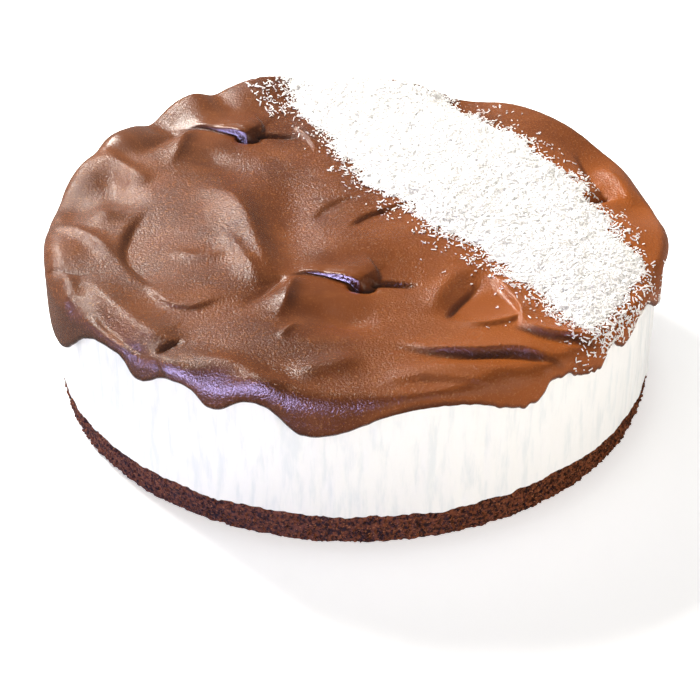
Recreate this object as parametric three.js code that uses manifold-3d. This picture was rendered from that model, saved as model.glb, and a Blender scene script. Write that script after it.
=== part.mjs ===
// Coconut cake: a crumb base, a white cream filling, a spread chocolate top that hangs over the
// rim in uneven drips, and a broad band of grated coconut across it.
// Millimetres, +Z up. The origin is the centre of the flat underside. The view that shows the
// front curl looks along +Y. Angles run anticlockwise from +X: 270 is the front, 180 the left.

import * as THREE from 'three';
import { mergeGeometries, mergeVertices } from 'three/addons/utils/BufferGeometryUtils.js';
import Module from 'manifold-3d';

const wasm = await Module();
wasm.setup();

// ------------------------------------------------------------------ driving dimensions

const RING_RADIUS = 120;        // the filling, set in a 24 cm cake ring
const GAP = 0.3;                // left between neighbouring pieces

const CRUMB_RADIUS = 119;
const CRUMB_TOP = 13;
const CRUMB_FOOT = 1.2;         // how far the base draws in at its foot
const CRUMB_ROUGHNESS = 0.45;   // how far grains stand out of its side
const SEAM_WAVE = 0.7;          // the uneven line between crumb and filling
const SEAM_INNER = 110;         // inside this radius the seam is flat

const FILLING_TOP = 63;
const FILLING_RIPPLE = 0.45;    // upright smears left by the ring

const TOP_HEIGHT = 67.5;        // the spread chocolate, before its relief
const THINNEST = 1.3;           // of the chocolate over the filling
const RIM_RADIUS = 122.2;       // outside of the chocolate where it turns down
const CAP_RADIUS = 110;         // the part of the top that is one even grid
const CAP_RINGS = 17;           // rings of that grid; the rim has eight times as many corners
const CORNERS = 8 * CAP_RINGS;
const BEND = 7;                 // the largest radius where the top turns down
const LIP = 2.6;                // the largest radius of the rounded lower edge
const EDGE_HEIGHT = 62;         // the lower edge between drips
const SIDE_INNERMOST = RING_RADIUS + GAP + 0.8;  // the skin beside the filling stays outside this
const SIDE_CALM = 0.6;          // how much of the relief is lost where the skin hangs upright
const FINEST = 4;               // the narrowest relief that facets of this size can show

const FILLING_DISH = 2;         // how much lower the middle of the filling is than its edge
const DISH_EDGE = [98, 116];    // radii between which the dish deepens
const SHOULDER = [92, 114];     // radii between which the top falls away where it slumped
const UNDER_RADII = [92, 104, 116];  // rings where filling and chocolate meet

// Where the shoulder of the cake slumped: middle, width before and after it (degrees), drop (mm).
const SLUMPS = [
  { at: 171, before: 9, after: 9, drop: 6 },
  { at: 153, before: 3, after: 3, drop: 2 },
  { at: 136, before: 4, after: 3.5, drop: 3.5 },
  { at: 121, before: 3, after: 3, drop: 2.5 },
  { at: 67, before: 9, after: 7, drop: 5.5 },
  { at: 30, before: 13, after: 10, drop: 4.5 },
  { at: 8, before: 9, after: 12, drop: 5.5 },
];

// Drips down the side: middle, width before and after it (degrees), length and bulge (mm).
const DRIPS = [
  { at: 202, before: 9, after: 10.5, hang: 21, bulge: 1.5 },
  { at: 229.5, before: 2.8, after: 4.5, hang: 6.5, bulge: 0.6 },
  { at: 245.3, before: 3.2, after: 3.7, hang: 6.5, bulge: 0.8 },
  { at: 262, before: 5, after: 11.5, hang: 11, bulge: 1.6 },
  { at: 301.5, before: 9.5, after: 3, hang: 9.5, bulge: 0.8 },
  { at: 317, before: 9, after: 2.2, hang: 7.5, bulge: 0.6 },
  { at: 324.5, before: 2.5, after: 4.2, hang: 6.5, bulge: 0.6 },
  { at: 341, before: 4.4, after: 4, hang: 8.5, bulge: 1.2 },
  { at: 355, before: 6, after: 7, hang: 3, bulge: 1.4 },
  { at: 17, before: 6, after: 6, hang: 5.5, bulge: 0.2 },
  { at: 48, before: 9, after: 9, hang: 7, bulge: 1.4 },
  { at: 74, before: 5, after: 5, hang: 3, bulge: 0 },
  { at: 106, before: 9, after: 9, hang: 9, bulge: 3.4 },
  { at: 127, before: 6, after: 6, hang: 4, bulge: 1.8 },
  { at: 148, before: 7, after: 7, hang: 8, bulge: 2.2 },
  { at: 163, before: 4, after: 4, hang: 3, bulge: 1.2 },
  { at: 183, before: 6, after: 6, hang: 10, bulge: 0.6 },
];

// Broad swells of the top: middle, half sizes along x and y, and height.
const SWELLS = [
  { x: -42, y: 112, rx: 16, ry: 14, rise: 4.5 },
  { x: -68, y: 97, rx: 15, ry: 12, rise: 4.5 },
  { x: -97, y: 62, rx: 11, ry: 12, rise: 3.5 },
  { x: -108, y: 36, rx: 8, ry: 12, rise: 1.5 },
  { x: -100, y: 4, rx: 6, ry: 8, rise: 2.8 },
  { x: -101, y: -16, rx: 12, ry: 20, rise: 1.6 },
  { x: -26, y: 0, rx: 12, ry: 34, rise: -3.4 },
  { x: 8, y: -18, rx: 22, ry: 16, rise: 1.6 },
  { x: -30, y: -84, rx: 30, ry: 16, rise: 2 },
  { x: -8, y: -72, rx: 22, ry: 9, rise: -1.4 },
  { x: 52, y: -58, rx: 10, ry: 10, rise: -1 },
  { x: 78, y: 56, rx: 24, ry: 24, rise: 1.6 },
  { x: 30, y: 92, rx: 40, ry: 18, rise: -1.4 },
  { x: 106, y: -8, rx: 10, ry: 26, rise: 1.6 },
];

// Strokes of the spatula. The path is in the plane of the top, which carries on down the side as
// if it were unrolled. rise is a ridge or, below zero, a crease; left and right are its widths on
// either side of the path; peak is how far along it stands highest; sharp is 2 for a soft back and
// 1 for an edge; lean pushes the ridge over to the right of the path.
const STROKES = [
  // long swoop from the rear curl to the front one, with a second ridge inside it
  { rise: 4.8, left: 6, right: 8, sharp: 1.6, peak: 0.5, lean: 0,
    path: [[-66, 24], [-52, 18], [-45, 5], [-41, -7], [-37, -23], [-33, -36], [-29, -46]] },
  { rise: 2, left: 3, right: 4, sharp: 1.6, peak: 0.6, lean: 0,
    path: [[-52, -8], [-47, -20], [-41, -34], [-34, -47]] },
  // basin on the left, and the tongue that closes it
  { rise: -3, left: 26, right: 1.6, sharp: 1.5, peak: 0.5, lean: 0,
    path: [[-80, 10], [-86, -4], [-88.5, -18], [-87, -30], [-80, -42], [-75, -52]] },
  { rise: 1.6, left: 10, right: 1.4, sharp: 1.6, peak: 0.45, lean: 0.3,
    path: [[-80, -42], [-75, -54], [-68, -62], [-60, -63], [-52, -58], [-42, -53]] },
  { rise: 1.2, left: 3, right: 3, sharp: 2, peak: 0.5, lean: 0,
    path: [[-72, -22], [-60, -27], [-48, -25]] },
  // valley and ridges towards the left rim
  { rise: -3.6, left: 7, right: 7, sharp: 2, peak: 0.5, lean: 0,
    path: [[-103, 46], [-96, 24], [-87, 5]] },
  { rise: 3.4, left: 4, right: 7, sharp: 1.7, peak: 0.5, lean: 0,
    path: [[-108, 60], [-95, 41], [-82, 28]] },
  { rise: 2.4, left: 4, right: 4, sharp: 1.7, peak: 0.5, lean: 0,
    path: [[-117, -1], [-106, -11], [-97, -21]] },
  { rise: 2, left: 2, right: 4, sharp: 1.6, peak: 0.4, lean: 0,
    path: [[-110, -40], [-107, -52], [-110, -64]] },
  // crest over a crease, and the small steps at its end
  { rise: 3.6, left: 8, right: 3.2, sharp: 1.7, peak: 0.55, lean: 0.6,
    path: [[-103, -40], [-96, -52], [-88, -66], [-79, -78], [-70, -86], [-60, -88]] },
  { rise: -2.4, left: 0.9, right: 2.4, sharp: 1.4, peak: 0.5, lean: 0,
    path: [[-100, -57], [-93, -71], [-85, -83], [-79, -90], [-72, -94]] },
  { rise: 2, left: 8, right: 1.2, sharp: 1.5, peak: 0.5, lean: 0.4,
    path: [[-71, -93], [-68, -102], [-65, -109], [-60, -120]] },
  // rolled front edge
  { rise: 3.4, left: 6, right: 5, sharp: 1.8, peak: 0.5, lean: 0,
    path: [[-68, -93], [-54, -100], [-42, -105], [-33, -113], [-20, -120], [-4, -125]] },
  { rise: 2.2, left: 5, right: 5, sharp: 1.8, peak: 0.5, lean: 0,
    path: [[-24, -108], [-10, -102], [4, -97]] },
  // folds on the right of the front: each ridge hangs over the crease in front of it
  { rise: 2.4, left: 8, right: 1.4, sharp: 1.6, peak: 0.5, lean: 0.9,
    path: [[12, -84], [26, -90], [42, -91.5], [56, -90.5], [68, -93], [80, -97]] },
  { rise: -1.5, left: 0.7, right: 2.4, sharp: 1.5, peak: 0.5, lean: 0,
    path: [[22, -94], [36, -95.5], [54, -94.5], [66, -96.5], [78, -99.5]] },
  { rise: 2.2, left: 5, right: 5, sharp: 2, peak: 0.5, lean: 0,
    path: [[8, -106], [32, -104], [54, -105], [76, -108]] },
  { rise: 1, left: 3, right: 1.2, sharp: 1.5, peak: 0.5, lean: 0.3,
    path: [[6, -113], [20, -109], [38, -110], [56, -111]] },
  { rise: -2.4, left: 1.5, right: 3, sharp: 1.5, peak: 0.5, lean: 0,
    path: [[4, -129], [20, -123], [37, -120], [53, -119], [68, -120]] },
  { rise: 2.2, left: 5, right: 1.3, sharp: 1.5, peak: 0.5, lean: 0.8,
    path: [[58, -74], [72, -80], [92, -83]] },
  { rise: -1.8, left: 0.9, right: 2.4, sharp: 1.5, peak: 0.5, lean: 0,
    path: [[60, -79], [75, -85], [92, -86]] },
  // pressed facet right of the middle, between a soft ridge and a thin edge
  { rise: -2.7, left: 3.8, right: 7, sharp: 1.7, peak: 0.4, lean: 0,
    path: [[34, -73], [40, -60], [47, -43], [52, -30]] },
  { rise: 2, left: 5, right: 3, sharp: 1.8, peak: 0.5, lean: 0,
    path: [[30, -66], [35, -52], [44, -35]] },
  { rise: -1, left: 1.5, right: 2.5, sharp: 1.8, peak: 0.3, lean: 0,
    path: [[29, -64], [27, -50], [31, -36]] },
  { rise: 1.4, left: 3, right: 1, sharp: 1.5, peak: 0.5, lean: 0.3,
    path: [[34, -72], [45, -75], [56, -72], [62, -66]] },
  { rise: 2.6, left: 5, right: 1, sharp: 1.4, peak: 0.5, lean: 0.5,
    path: [[51, -36], [57, -53], [61, -65], [61, -77]] },
  // small creases in the middle and behind
  { rise: -1.5, left: 0.8, right: 3, sharp: 1.4, peak: 0.4, lean: 0,
    path: [[-3, -8], [4, 2], [13, 8], [25, 14]] },
  { rise: -0.9, left: 1, right: 4, sharp: 1.6, peak: 0.4, lean: 0,
    path: [[-16, 2], [-10, 12], [2, 19]] },
  { rise: 1.3, left: 3, right: 0.8, sharp: 1.5, peak: 0.4, lean: 0.3,
    path: [[-26, 77], [-20, 66], [-15, 53]] },
  // rear right: a crease over a small hollow
  { rise: -3.7, left: 5, right: 1.4, sharp: 1.4, peak: 0.6, lean: 0,
    path: [[92, 60], [95, 42], [99, 30], [103, 20]] },
  { rise: -4, left: 1.5, right: 3, sharp: 1.4, peak: 0.5, lean: 0,
    path: [[90, 12], [97, 19], [104, 27]] },
  { rise: 2.4, left: 5, right: 3, sharp: 1.5, peak: 0.5, lean: 0,
    path: [[100, 50], [108, 34], [112, 16]] },
];

// Where the spatula was lifted it pulled up a curl. Its strokes are placed from the tip of the
// flap, and plate is how far the flap reaches back.
const CURLS = [
  { x: 2, y: -47.5, plate: 13 },
  { x: -45, y: 66.5, plate: 19 },
];
for (const { x, y, plate } of CURLS) {
  const marks = [
    { rise: 1.5, left: plate, right: 0.7, sharp: 1.6, peak: 0.75, lean: 1.1,
      path: [[-30, 6], [-24, 9.5], [-19, 9], [-11, 5.5], [-4, 2.5], [2, -1]] },
    { rise: 1.8, left: 8, right: 0.9, sharp: 1.5, peak: 0.85, lean: 1.2,
      path: [[-14, 7.5], [-6, 3.5], [1.5, -1]] },
    { rise: 1.1, left: 0.7, right: plate, sharp: 1.5, peak: 0.7, lean: -0.4,
      path: [[2, 21], [4, 12], [5, 5], [2, -1]] },
    { rise: -1.8, left: 3, right: 4, sharp: 1.6, peak: 0.3, lean: 0,
      path: [[-28, 7], [-35, -4], [-45, -17]] },
    { rise: 3, left: 3.2, right: 6, sharp: 1.4, peak: 0.35, lean: 0,
      path: [[-24, 8], [-26.5, -4], [-28, -14], [-32, -26]] },
    { rise: -1.4, left: 7, right: 7, sharp: 2, peak: 0.5, lean: 0,
      path: [[-18, -7], [-15, -18], [-5, -26], [8, -24]] },
  ];
  for (const mark of marks) {
    STROKES.push({ ...mark, path: mark.path.map(([u, v]) => [u + x, v + y]) });
  }
}

// Band of grated coconut. It runs from the rear to the front right; its two edges are given as
// distances across it from the middle of the cake.
const BAND_TURN = -63.2;        // degrees from +X to the way that the band runs
const BAND_START = -124;
const BAND_END = 108;
const BAND_NEAR = 17.5;         // near edge where the band is widest
const BAND_NARROWING = 0.178;   // how fast the near edge closes in towards the front
const BAND_FAR = 83;
const BAND_BELLY = 7;           // how far the far edge swells out past the middle
const BAND_WOBBLE = 2;
const BAND_RIM = 117.5;         // it ends short of the turned-down rim
const DRIFT_THICKNESS = 3.3;
const DRIFT_EDGE = 0.9;
const DRIFT_SHOULDER = 16;      // from its edge to its full thickness
const DRIFT_CLUMP = 1.2;        // unevenness of its heaped surface
const DRIFT_CELL = 7;
const FLAKE = { length: 3.4, width: 1.1, thickness: 0.6 };
const FLAKES_ON_DRIFT = 84;
const STRAY_FLAKES = 28;
const STRAY_NEAREST = 4;        // from the edge of the band
const STRAY_FURTHEST = 15;
const SEED = 20241;

const FULL_TURN = 2 * Math.PI;
const toRadians = THREE.MathUtils.degToRad;

// ------------------------------------------------------------------ uneven shapes from sines

// Three sines in turned directions: a smooth, repeatable unevenness between -1 and 1.
function ripple(x, y, wavelength, phase) {
  let sum = 0;
  for (let i = 0; i < 3; i++) {
    const turn = phase + i * 2.4;
    const across = x * Math.cos(turn) + y * Math.sin(turn);
    sum += Math.sin(FULL_TURN * across / (wavelength * (1 + 0.23 * i)) + 5 * phase + i);
  }
  return sum / 3;
}

const bell = (distance, width, sharp) => Math.exp(-((Math.abs(distance) / width) ** sharp));

// ------------------------------------------------------------------ rim of the chocolate

// A bell round one angle, with its own width before and after it.
function bellRound(theta, place, sharp) {
  const past = ((THREE.MathUtils.radToDeg(theta) - place.at + 900) % 360) - 180;
  return bell(past, past < 0 ? place.before : place.after, sharp);
}

// How far the shoulder sank at one angle.
const slumpAt = (theta) =>
  SLUMPS.reduce((sum, slump) => sum + slump.drop * bellRound(theta, slump, 2), 0);

const shoulderDrop = (theta, radius) =>
  slumpAt(theta) * THREE.MathUtils.smoothstep(radius, ...SHOULDER);

// Top of the filling: level at its edge less the slump, and dished inside.
const fillingLevel = (theta, radius) => FILLING_TOP - shoulderDrop(theta, radius)
  - FILLING_DISH * (1 - THREE.MathUtils.smoothstep(radius, ...DISH_EDGE));

// Lower edge, outside radius, bend, lip and top of the chocolate at one angle.
function rimAt(theta) {
  const top = TOP_HEIGHT - slumpAt(theta);
  const x = 30 * Math.cos(theta);
  const y = 30 * Math.sin(theta);
  let edge = EDGE_HEIGHT - slumpAt(theta) + 0.5 * ripple(x, y, 11, 1.7);
  let radius = RIM_RADIUS + 0.4 * ripple(x, y, 14, 0.6);
  for (const drip of DRIPS) {
    const share = bellRound(theta, drip, 2.4);
    edge -= drip.hang * share;
    radius += drip.bulge * share;
  }
  const height = top - edge;
  return { edge, radius, top,
    bend: Math.min(BEND, 0.55 * height), lip: Math.min(LIP, 0.32 * height) };
}

// ------------------------------------------------------------------ relief of the chocolate

const strokePaths = STROKES.map((stroke) => {
  const corners = stroke.path.map(([x, y]) => new THREE.Vector2(x, y));
  return new THREE.SplineCurve(corners).getPoints(6 * (corners.length - 1));
});

// Nearest place on a path: signed distance (left is positive), share of its length, and the
// direction that points to its right.
function nearestOnPath(path, x, y) {
  let best = { distance: Infinity, along: 0, right: [0, 0] };
  for (let i = 1; i < path.length; i++) {
    const from = path[i - 1];
    const stepX = path[i].x - from.x;
    const stepY = path[i].y - from.y;
    const lengthSquared = stepX * stepX + stepY * stepY;
    const dot = (x - from.x) * stepX + (y - from.y) * stepY;
    const share = THREE.MathUtils.clamp(dot / lengthSquared, 0, 1);
    const distance = Math.hypot(x - from.x - share * stepX, y - from.y - share * stepY);
    if (distance < Math.abs(best.distance)) {
      const side = stepX * (y - from.y) - stepY * (x - from.x);
      const length = Math.sqrt(lengthSquared);
      best = {
        distance: side < 0 ? -distance : distance,
        along: (i - 1 + share) / (path.length - 1),
        right: [stepY / length, -stepX / length],
      };
    }
  }
  return best;
}

// Height of the relief at a place of the unrolled top, and how far it is pushed sideways.
function reliefAt(x, y) {
  const relief = { rise: 0.5 * ripple(x, y, 46, 0.9), shiftX: 0, shiftY: 0 };
  for (const swell of SWELLS) {
    const squared = ((x - swell.x) / swell.rx) ** 2 + ((y - swell.y) / swell.ry) ** 2;
    relief.rise += swell.rise * Math.exp(-squared);
  }
  STROKES.forEach((stroke, index) => {
    const near = nearestOnPath(strokePaths[index], x, y);
    const width = Math.max(FINEST, near.distance > 0 ? stroke.left : stroke.right);
    const towardsPeak = near.along < stroke.peak
      ? near.along / stroke.peak
      : (1 - near.along) / (1 - stroke.peak);
    const share = bell(near.distance, width, stroke.sharp)
      * THREE.MathUtils.smoothstep(towardsPeak, 0, 0.7);
    relief.rise += stroke.rise * share;
    relief.shiftX += stroke.lean * share * near.right[0];
    relief.shiftY += stroke.lean * share * near.right[1];
  });
  return relief;
}

// Places a point of the outer skin. profile holds its radius and height before the relief, the
// outward direction there, and how far along the unrolled top it lies.
function placeOnSkin(theta, profile, fade) {
  const relief = reliefAt(profile.along * Math.cos(theta), profile.along * Math.sin(theta));
  const rise = relief.rise * fade * (1 - SIDE_CALM * profile.outward);
  const lowest = fillingLevel(theta, profile.radius) + GAP + THINNEST;
  const overFilling = profile.radius < RING_RADIUS;
  const innermost = overFilling ? 0 : Math.min(profile.radius, SIDE_INNERMOST);
  const radius = Math.max(profile.radius + rise * profile.outward, innermost);
  const height = profile.height + rise * profile.upward;
  return new THREE.Vector3(
    radius * Math.cos(theta) + relief.shiftX * fade * profile.upward,
    radius * Math.sin(theta) + relief.shiftY * fade * profile.upward,
    overFilling ? Math.max(height, lowest) : height,
  );
}

// Rows of the rim, from the edge of the even grid down to the lip and up inside to the filling.
function rimRows(theta) {
  const rim = rimAt(theta);
  const rows = [];
  const bendStart = rim.radius - rim.bend;
  const arc = rim.bend * Math.PI / 2;
  rows.push({ radius: CAP_RADIUS, height: TOP_HEIGHT - shoulderDrop(theta, CAP_RADIUS),
    outward: 0, upward: 1, along: CAP_RADIUS });
  for (const turn of [0.12, 0.5, 1]) {
    const angle = turn * Math.PI / 2;
    rows.push({
      radius: bendStart + rim.bend * Math.sin(angle),
      height: rim.top - rim.bend * (1 - Math.cos(angle)),
      outward: Math.sin(angle),
      upward: Math.cos(angle),
      along: bendStart + turn * arc,
    });
  }
  const lipTop = rim.edge + rim.lip;
  const straight = rim.top - rim.bend - lipTop;
  rows.push({ radius: rim.radius, height: lipTop, outward: 1, upward: 0,
    along: bendStart + arc + straight });
  return { rim, rows };
}

// ------------------------------------------------------------------ closed round bodies

// Angle of one of count even steps, so that neighbouring surfaces share exactly the same corners.
function stepAngle(theta, count) {
  const step = ((Math.round(theta / FULL_TURN * count) % count) + count) % count;
  return step * FULL_TURN / count;
}

// Even grid over a round top: a square sheet whose square rings become circles.
function roundSheet(rings, place) {
  const sheet = new THREE.PlaneGeometry(2, 2, 2 * rings, 2 * rings);
  const position = sheet.getAttribute('position');
  for (let i = 0; i < position.count; i++) {
    const u = position.getX(i);
    const v = position.getY(i);
    const ring = Math.round(Math.max(Math.abs(u), Math.abs(v)) * rings);
    let angle = 0;
    if (ring > 0) {
      angle = Math.abs(u) >= Math.abs(v)
        ? (Math.PI / 4) * (v / u) + (u < 0 ? Math.PI : 0)
        : Math.PI / 2 - (Math.PI / 4) * (u / v) + (v < 0 ? Math.PI : 0);
    }
    const point = place(ring / rings, ring > 0 ? stepAngle(angle, 8 * ring) : 0);
    position.setXYZ(i, point.x, point.y, point.z);
  }
  return sheet;
}

// Wall round the body: place(row, angle) gives its corners, row 0 at the top.
function roundWall(corners, rowCount, place) {
  const wall = new THREE.CylinderGeometry(1, 1, 1, corners, rowCount - 1, true);
  const position = wall.getAttribute('position');
  const uv = wall.getAttribute('uv');
  for (let i = 0; i < position.count; i++) {
    const row = Math.round((1 - uv.getY(i)) * (rowCount - 1));
    const point = place(row, stepAngle(uv.getX(i) * FULL_TURN, corners));
    position.setXYZ(i, point.x, point.y, point.z);
  }
  return wall;
}

// Flat fan that closes a body, facing up or down.
function roundFan(corners, radius, height, facingUp) {
  const fan = new THREE.CircleGeometry(1, corners);
  if (!facingUp) {
    fan.rotateX(Math.PI);
  }
  const position = fan.getAttribute('position');
  for (let i = 0; i < position.count; i++) {
    const x = position.getX(i);
    const y = position.getY(i);
    const reach = Math.hypot(x, y) > 0.5 ? radius : 0;
    const theta = stepAngle(Math.atan2(y, x), corners);
    position.setXYZ(i, reach * Math.cos(theta), reach * Math.sin(theta), height);
  }
  return fan;
}

// The same surface, facing the other way.
function flipped(surface) {
  const index = surface.getIndex();
  for (let i = 0; i < index.count; i += 3) {
    const first = index.getX(i);
    index.setX(i, index.getX(i + 1));
    index.setX(i + 1, first);
  }
  return surface;
}

function closed(surfaces) {
  const joined = mergeGeometries(surfaces);
  joined.deleteAttribute('normal');
  joined.deleteAttribute('uv');
  return mergeVertices(joined, 1e-4);
}

const onCircle = (theta, radius, height) =>
  new THREE.Vector3(radius * Math.cos(theta), radius * Math.sin(theta), height);

// ------------------------------------------------------------------ joining and cutting

function toSolid(geometry) {
  const mesh = new wasm.Mesh({
    numProp: 3,
    vertProperties: Float32Array.from(geometry.getAttribute('position').array),
    triVerts: Uint32Array.from(geometry.getIndex().array),
  });
  return new wasm.Manifold(mesh);
}

function toGeometry(solid) {
  const mesh = solid.getMesh();
  const geometry = new THREE.BufferGeometry();
  geometry.setAttribute('position', new THREE.BufferAttribute(mesh.vertProperties, 3));
  geometry.setIndex(new THREE.BufferAttribute(mesh.triVerts, 1));
  return geometry;
}

// The largest of the bodies that a cut leaves; loose scraps are dropped.
function largestBody(solid) {
  const bodies = solid.decompose();
  return bodies.reduce((best, body) => (body.volume() > best.volume() ? body : best));
}

// ------------------------------------------------------------------ crumb base and filling

const seamHeight = (theta) =>
  CRUMB_TOP + SEAM_WAVE * ripple(60 * Math.cos(theta), 60 * Math.sin(theta), 17, 0.4);

function crumbBase() {
  const heights = [1, 0.66, 0.28, 0];
  const rows = heights.length + 1;
  const wall = roundWall(CORNERS, rows, (row, theta) => {
    if (row === 0) {
      return onCircle(theta, SEAM_INNER, CRUMB_TOP);
    }
    const share = heights[row - 1];
    const grain = CRUMB_ROUGHNESS * ripple(CRUMB_RADIUS * theta, 40 * share, 7, 2.2 + row);
    const foot = CRUMB_FOOT * (1 - share) ** 3;
    return onCircle(theta, CRUMB_RADIUS - CRUMB_ROUGHNESS + grain - foot, seamHeight(theta) * share);
  });
  const top = roundFan(CORNERS, SEAM_INNER, CRUMB_TOP, true);
  const underside = roundWall(CORNERS, 2, (row, theta) => {
    const grain = CRUMB_ROUGHNESS * ripple(CRUMB_RADIUS * theta, 0, 7, 2.2 + heights.length);
    const edge = CRUMB_RADIUS - CRUMB_ROUGHNESS + grain - CRUMB_FOOT;
    return onCircle(theta, row === 0 ? edge : SEAM_INNER, 0);
  });
  return closed([top, wall, underside, roundFan(CORNERS, SEAM_INNER, 0, false)]);
}

// Top of the filling, out to its edge, and flat inside the innermost ring. Lifted a little it is
// also the underside of the chocolate.
function dishedTop(edgeRadius, lift) {
  const rings = roundWall(CORNERS, UNDER_RADII.length + 1, (row, theta) => {
    const radius = row < UNDER_RADII.length ? UNDER_RADII[row] : edgeRadius(theta);
    return onCircle(theta, radius, fillingLevel(theta, radius) + lift);
  });
  return [rings, roundFan(CORNERS, UNDER_RADII[0], FILLING_TOP - FILLING_DISH + lift, true)];
}

function creamFilling() {
  const heights = [1, 0.72, 0.36, 0];
  const edgeRadius = (theta, share) => RING_RADIUS
    - FILLING_RIPPLE * (0.5 + 0.5 * ripple(CORNERS * theta, 12 * share, 9, 0.8));
  const wall = roundWall(CORNERS, heights.length, (row, theta) => {
    const foot = seamHeight(theta) + GAP;
    const height = foot + (FILLING_TOP - slumpAt(theta) - foot) * heights[row];
    return onCircle(theta, edgeRadius(theta, heights[row]), height);
  });
  const underside = roundWall(CORNERS, 2, (row, theta) => (row === 0
    ? onCircle(theta, edgeRadius(theta, 0), seamHeight(theta) + GAP)
    : onCircle(theta, SEAM_INNER, CRUMB_TOP + GAP)));
  return closed([
    ...dishedTop((theta) => edgeRadius(theta, 1), 0), wall, underside,
    roundFan(CORNERS, SEAM_INNER, CRUMB_TOP + GAP, false),
  ]);
}

// ------------------------------------------------------------------ chocolate

function chocolateSkin() {
  const inner = RING_RADIUS + GAP;
  const cap = roundSheet(CAP_RINGS, (share, theta) => placeOnSkin(theta, {
    radius: share * CAP_RADIUS,
    height: TOP_HEIGHT - shoulderDrop(theta, share * CAP_RADIUS),
    outward: 0, upward: 1, along: share * CAP_RADIUS,
  }, 1));
  const side = roundWall(CORNERS, 8, (row, theta) => {
    const { rim, rows } = rimRows(theta);
    if (row < rows.length) {
      return placeOnSkin(theta, rows[row], 1);
    }
    if (row === rows.length) {
      return onCircle(theta, (rim.radius + inner) / 2, rim.edge);
    }
    const fillingEdge = fillingLevel(theta, inner);
    return onCircle(theta, inner, row === rows.length + 1
      ? Math.min(rim.edge + 0.5 * rim.lip, fillingEdge - GAP)
      : fillingEdge + GAP);
  });
  return closed([cap, side, ...dishedTop(() => inner, GAP).map(flipped)]);
}

// Height of the chocolate's top at a place inside the rim.
function topAt(x, y) {
  const theta = Math.atan2(y, x);
  const reach = Math.hypot(x, y);
  const rim = rimAt(theta);
  const past = Math.max(0, reach - (rim.radius - rim.bend));
  const drop = rim.bend - Math.sqrt(Math.max(0, rim.bend ** 2 - past ** 2));
  const height = TOP_HEIGHT - shoulderDrop(theta, reach) - drop + reliefAt(x, y).rise;
  return Math.max(height, fillingLevel(theta, reach) + GAP + THINNEST);
}

// ------------------------------------------------------------------ coconut

const bandDirection = toRadians(BAND_TURN);

// Place on the cake of a point that lies along and across the band.
function bandPlace(along, across) {
  return [
    along * Math.cos(bandDirection) - across * Math.sin(bandDirection),
    along * Math.sin(bandDirection) + across * Math.cos(bandDirection),
  ];
}

const nearEdge = (along) => BAND_NEAR + 0.1 * Math.max(0, -45 - along)
  + BAND_NARROWING * Math.max(0, along + 26) + BAND_WOBBLE * ripple(along, 0, 37, 0.7);
const farEdge = (along) => BAND_FAR + BAND_BELLY * bell(along - 8, 52, 2)
  + BAND_WOBBLE * ripple(along, 90, 41, 1.9);

// How far a point lies inside the band; below zero it is outside.
function insideBand(along, across) {
  const [x, y] = bandPlace(along, across);
  return Math.min(across - nearEdge(along), farEdge(along) - across, BAND_RIM - Math.hypot(x, y));
}

function driftThickness(along, across) {
  const inside = THREE.MathUtils.smoothstep(insideBand(along, across), 0, DRIFT_SHOULDER);
  const clump = DRIFT_CLUMP * ripple(along, across, 13, 1.1) * (0.4 + 0.6 * inside);
  return Math.max(DRIFT_EDGE, DRIFT_EDGE + (DRIFT_THICKNESS - DRIFT_EDGE) * inside + clump);
}

const random = (() => {
  let state = SEED;
  return () => {
    state = (state * 1664525 + 1013904223) % 4294967296;
    return state / 4294967296;
  };
})();

// One flake: a short strip, turned and tipped at random, its middle at the given place.
function flakeAt(x, y, z) {
  const length = FLAKE.length * (0.75 + 0.5 * random());
  const strip = new THREE.BoxGeometry(length, FLAKE.width, FLAKE.thickness);
  strip.rotateY((random() - 0.5) * 0.9);
  strip.rotateZ(random() * Math.PI);
  strip.translate(x, y, z);
  return toSolid(closed([strip]));
}

// Evenly spread shares of a rectangle, from two irrational steps.
const evenShare = (i) => [(0.5 + 0.7548776662 * i) % 1, (0.5 + 0.5698402910 * i) % 1];

function driftCore() {
  const length = BAND_END - BAND_START;
  const width = BAND_FAR - BAND_NEAR;
  const block = new THREE.BoxGeometry(1, 1, 1,
    Math.round(length / DRIFT_CELL), Math.round(width / DRIFT_CELL), 1);
  const position = block.getAttribute('position');
  for (let i = 0; i < position.count; i++) {
    const along = BAND_START + length * (position.getX(i) + 0.5);
    const near = nearEdge(along);
    const across = near + (farEdge(along) - near) * (position.getY(i) + 0.5);
    const [x, y] = bandPlace(along, across);
    const top = topAt(x, y) + GAP + driftThickness(along, across);
    const under = fillingLevel(Math.atan2(y, x), Math.hypot(x, y)) + GAP + 0.5 * THINNEST;
    position.setXYZ(i, x, y, position.getZ(i) > 0 ? top : under);
  }
  const disc = new THREE.CylinderGeometry(BAND_RIM, BAND_RIM, TOP_HEIGHT, CORNERS, 1);
  disc.rotateX(Math.PI / 2);
  disc.translate(0, 0, TOP_HEIGHT);
  return toSolid(closed([block])).intersect(toSolid(closed([disc])));
}

function flakesOnDrift() {
  const flakes = [];
  for (let i = 0; flakes.length < FLAKES_ON_DRIFT; i++) {
    const [alongShare, acrossShare] = evenShare(i);
    const along = THREE.MathUtils.lerp(BAND_START, BAND_END, alongShare);
    const across = THREE.MathUtils.lerp(BAND_NEAR, BAND_FAR, acrossShare);
    if (insideBand(along, across) > FLAKE.length / 2) {
      const [x, y] = bandPlace(along, across);
      const surface = topAt(x, y) + GAP + driftThickness(along, across);
      flakes.push(flakeAt(x, y, surface + 0.5 * FLAKE.thickness));
    }
  }
  return flakes;
}

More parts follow.
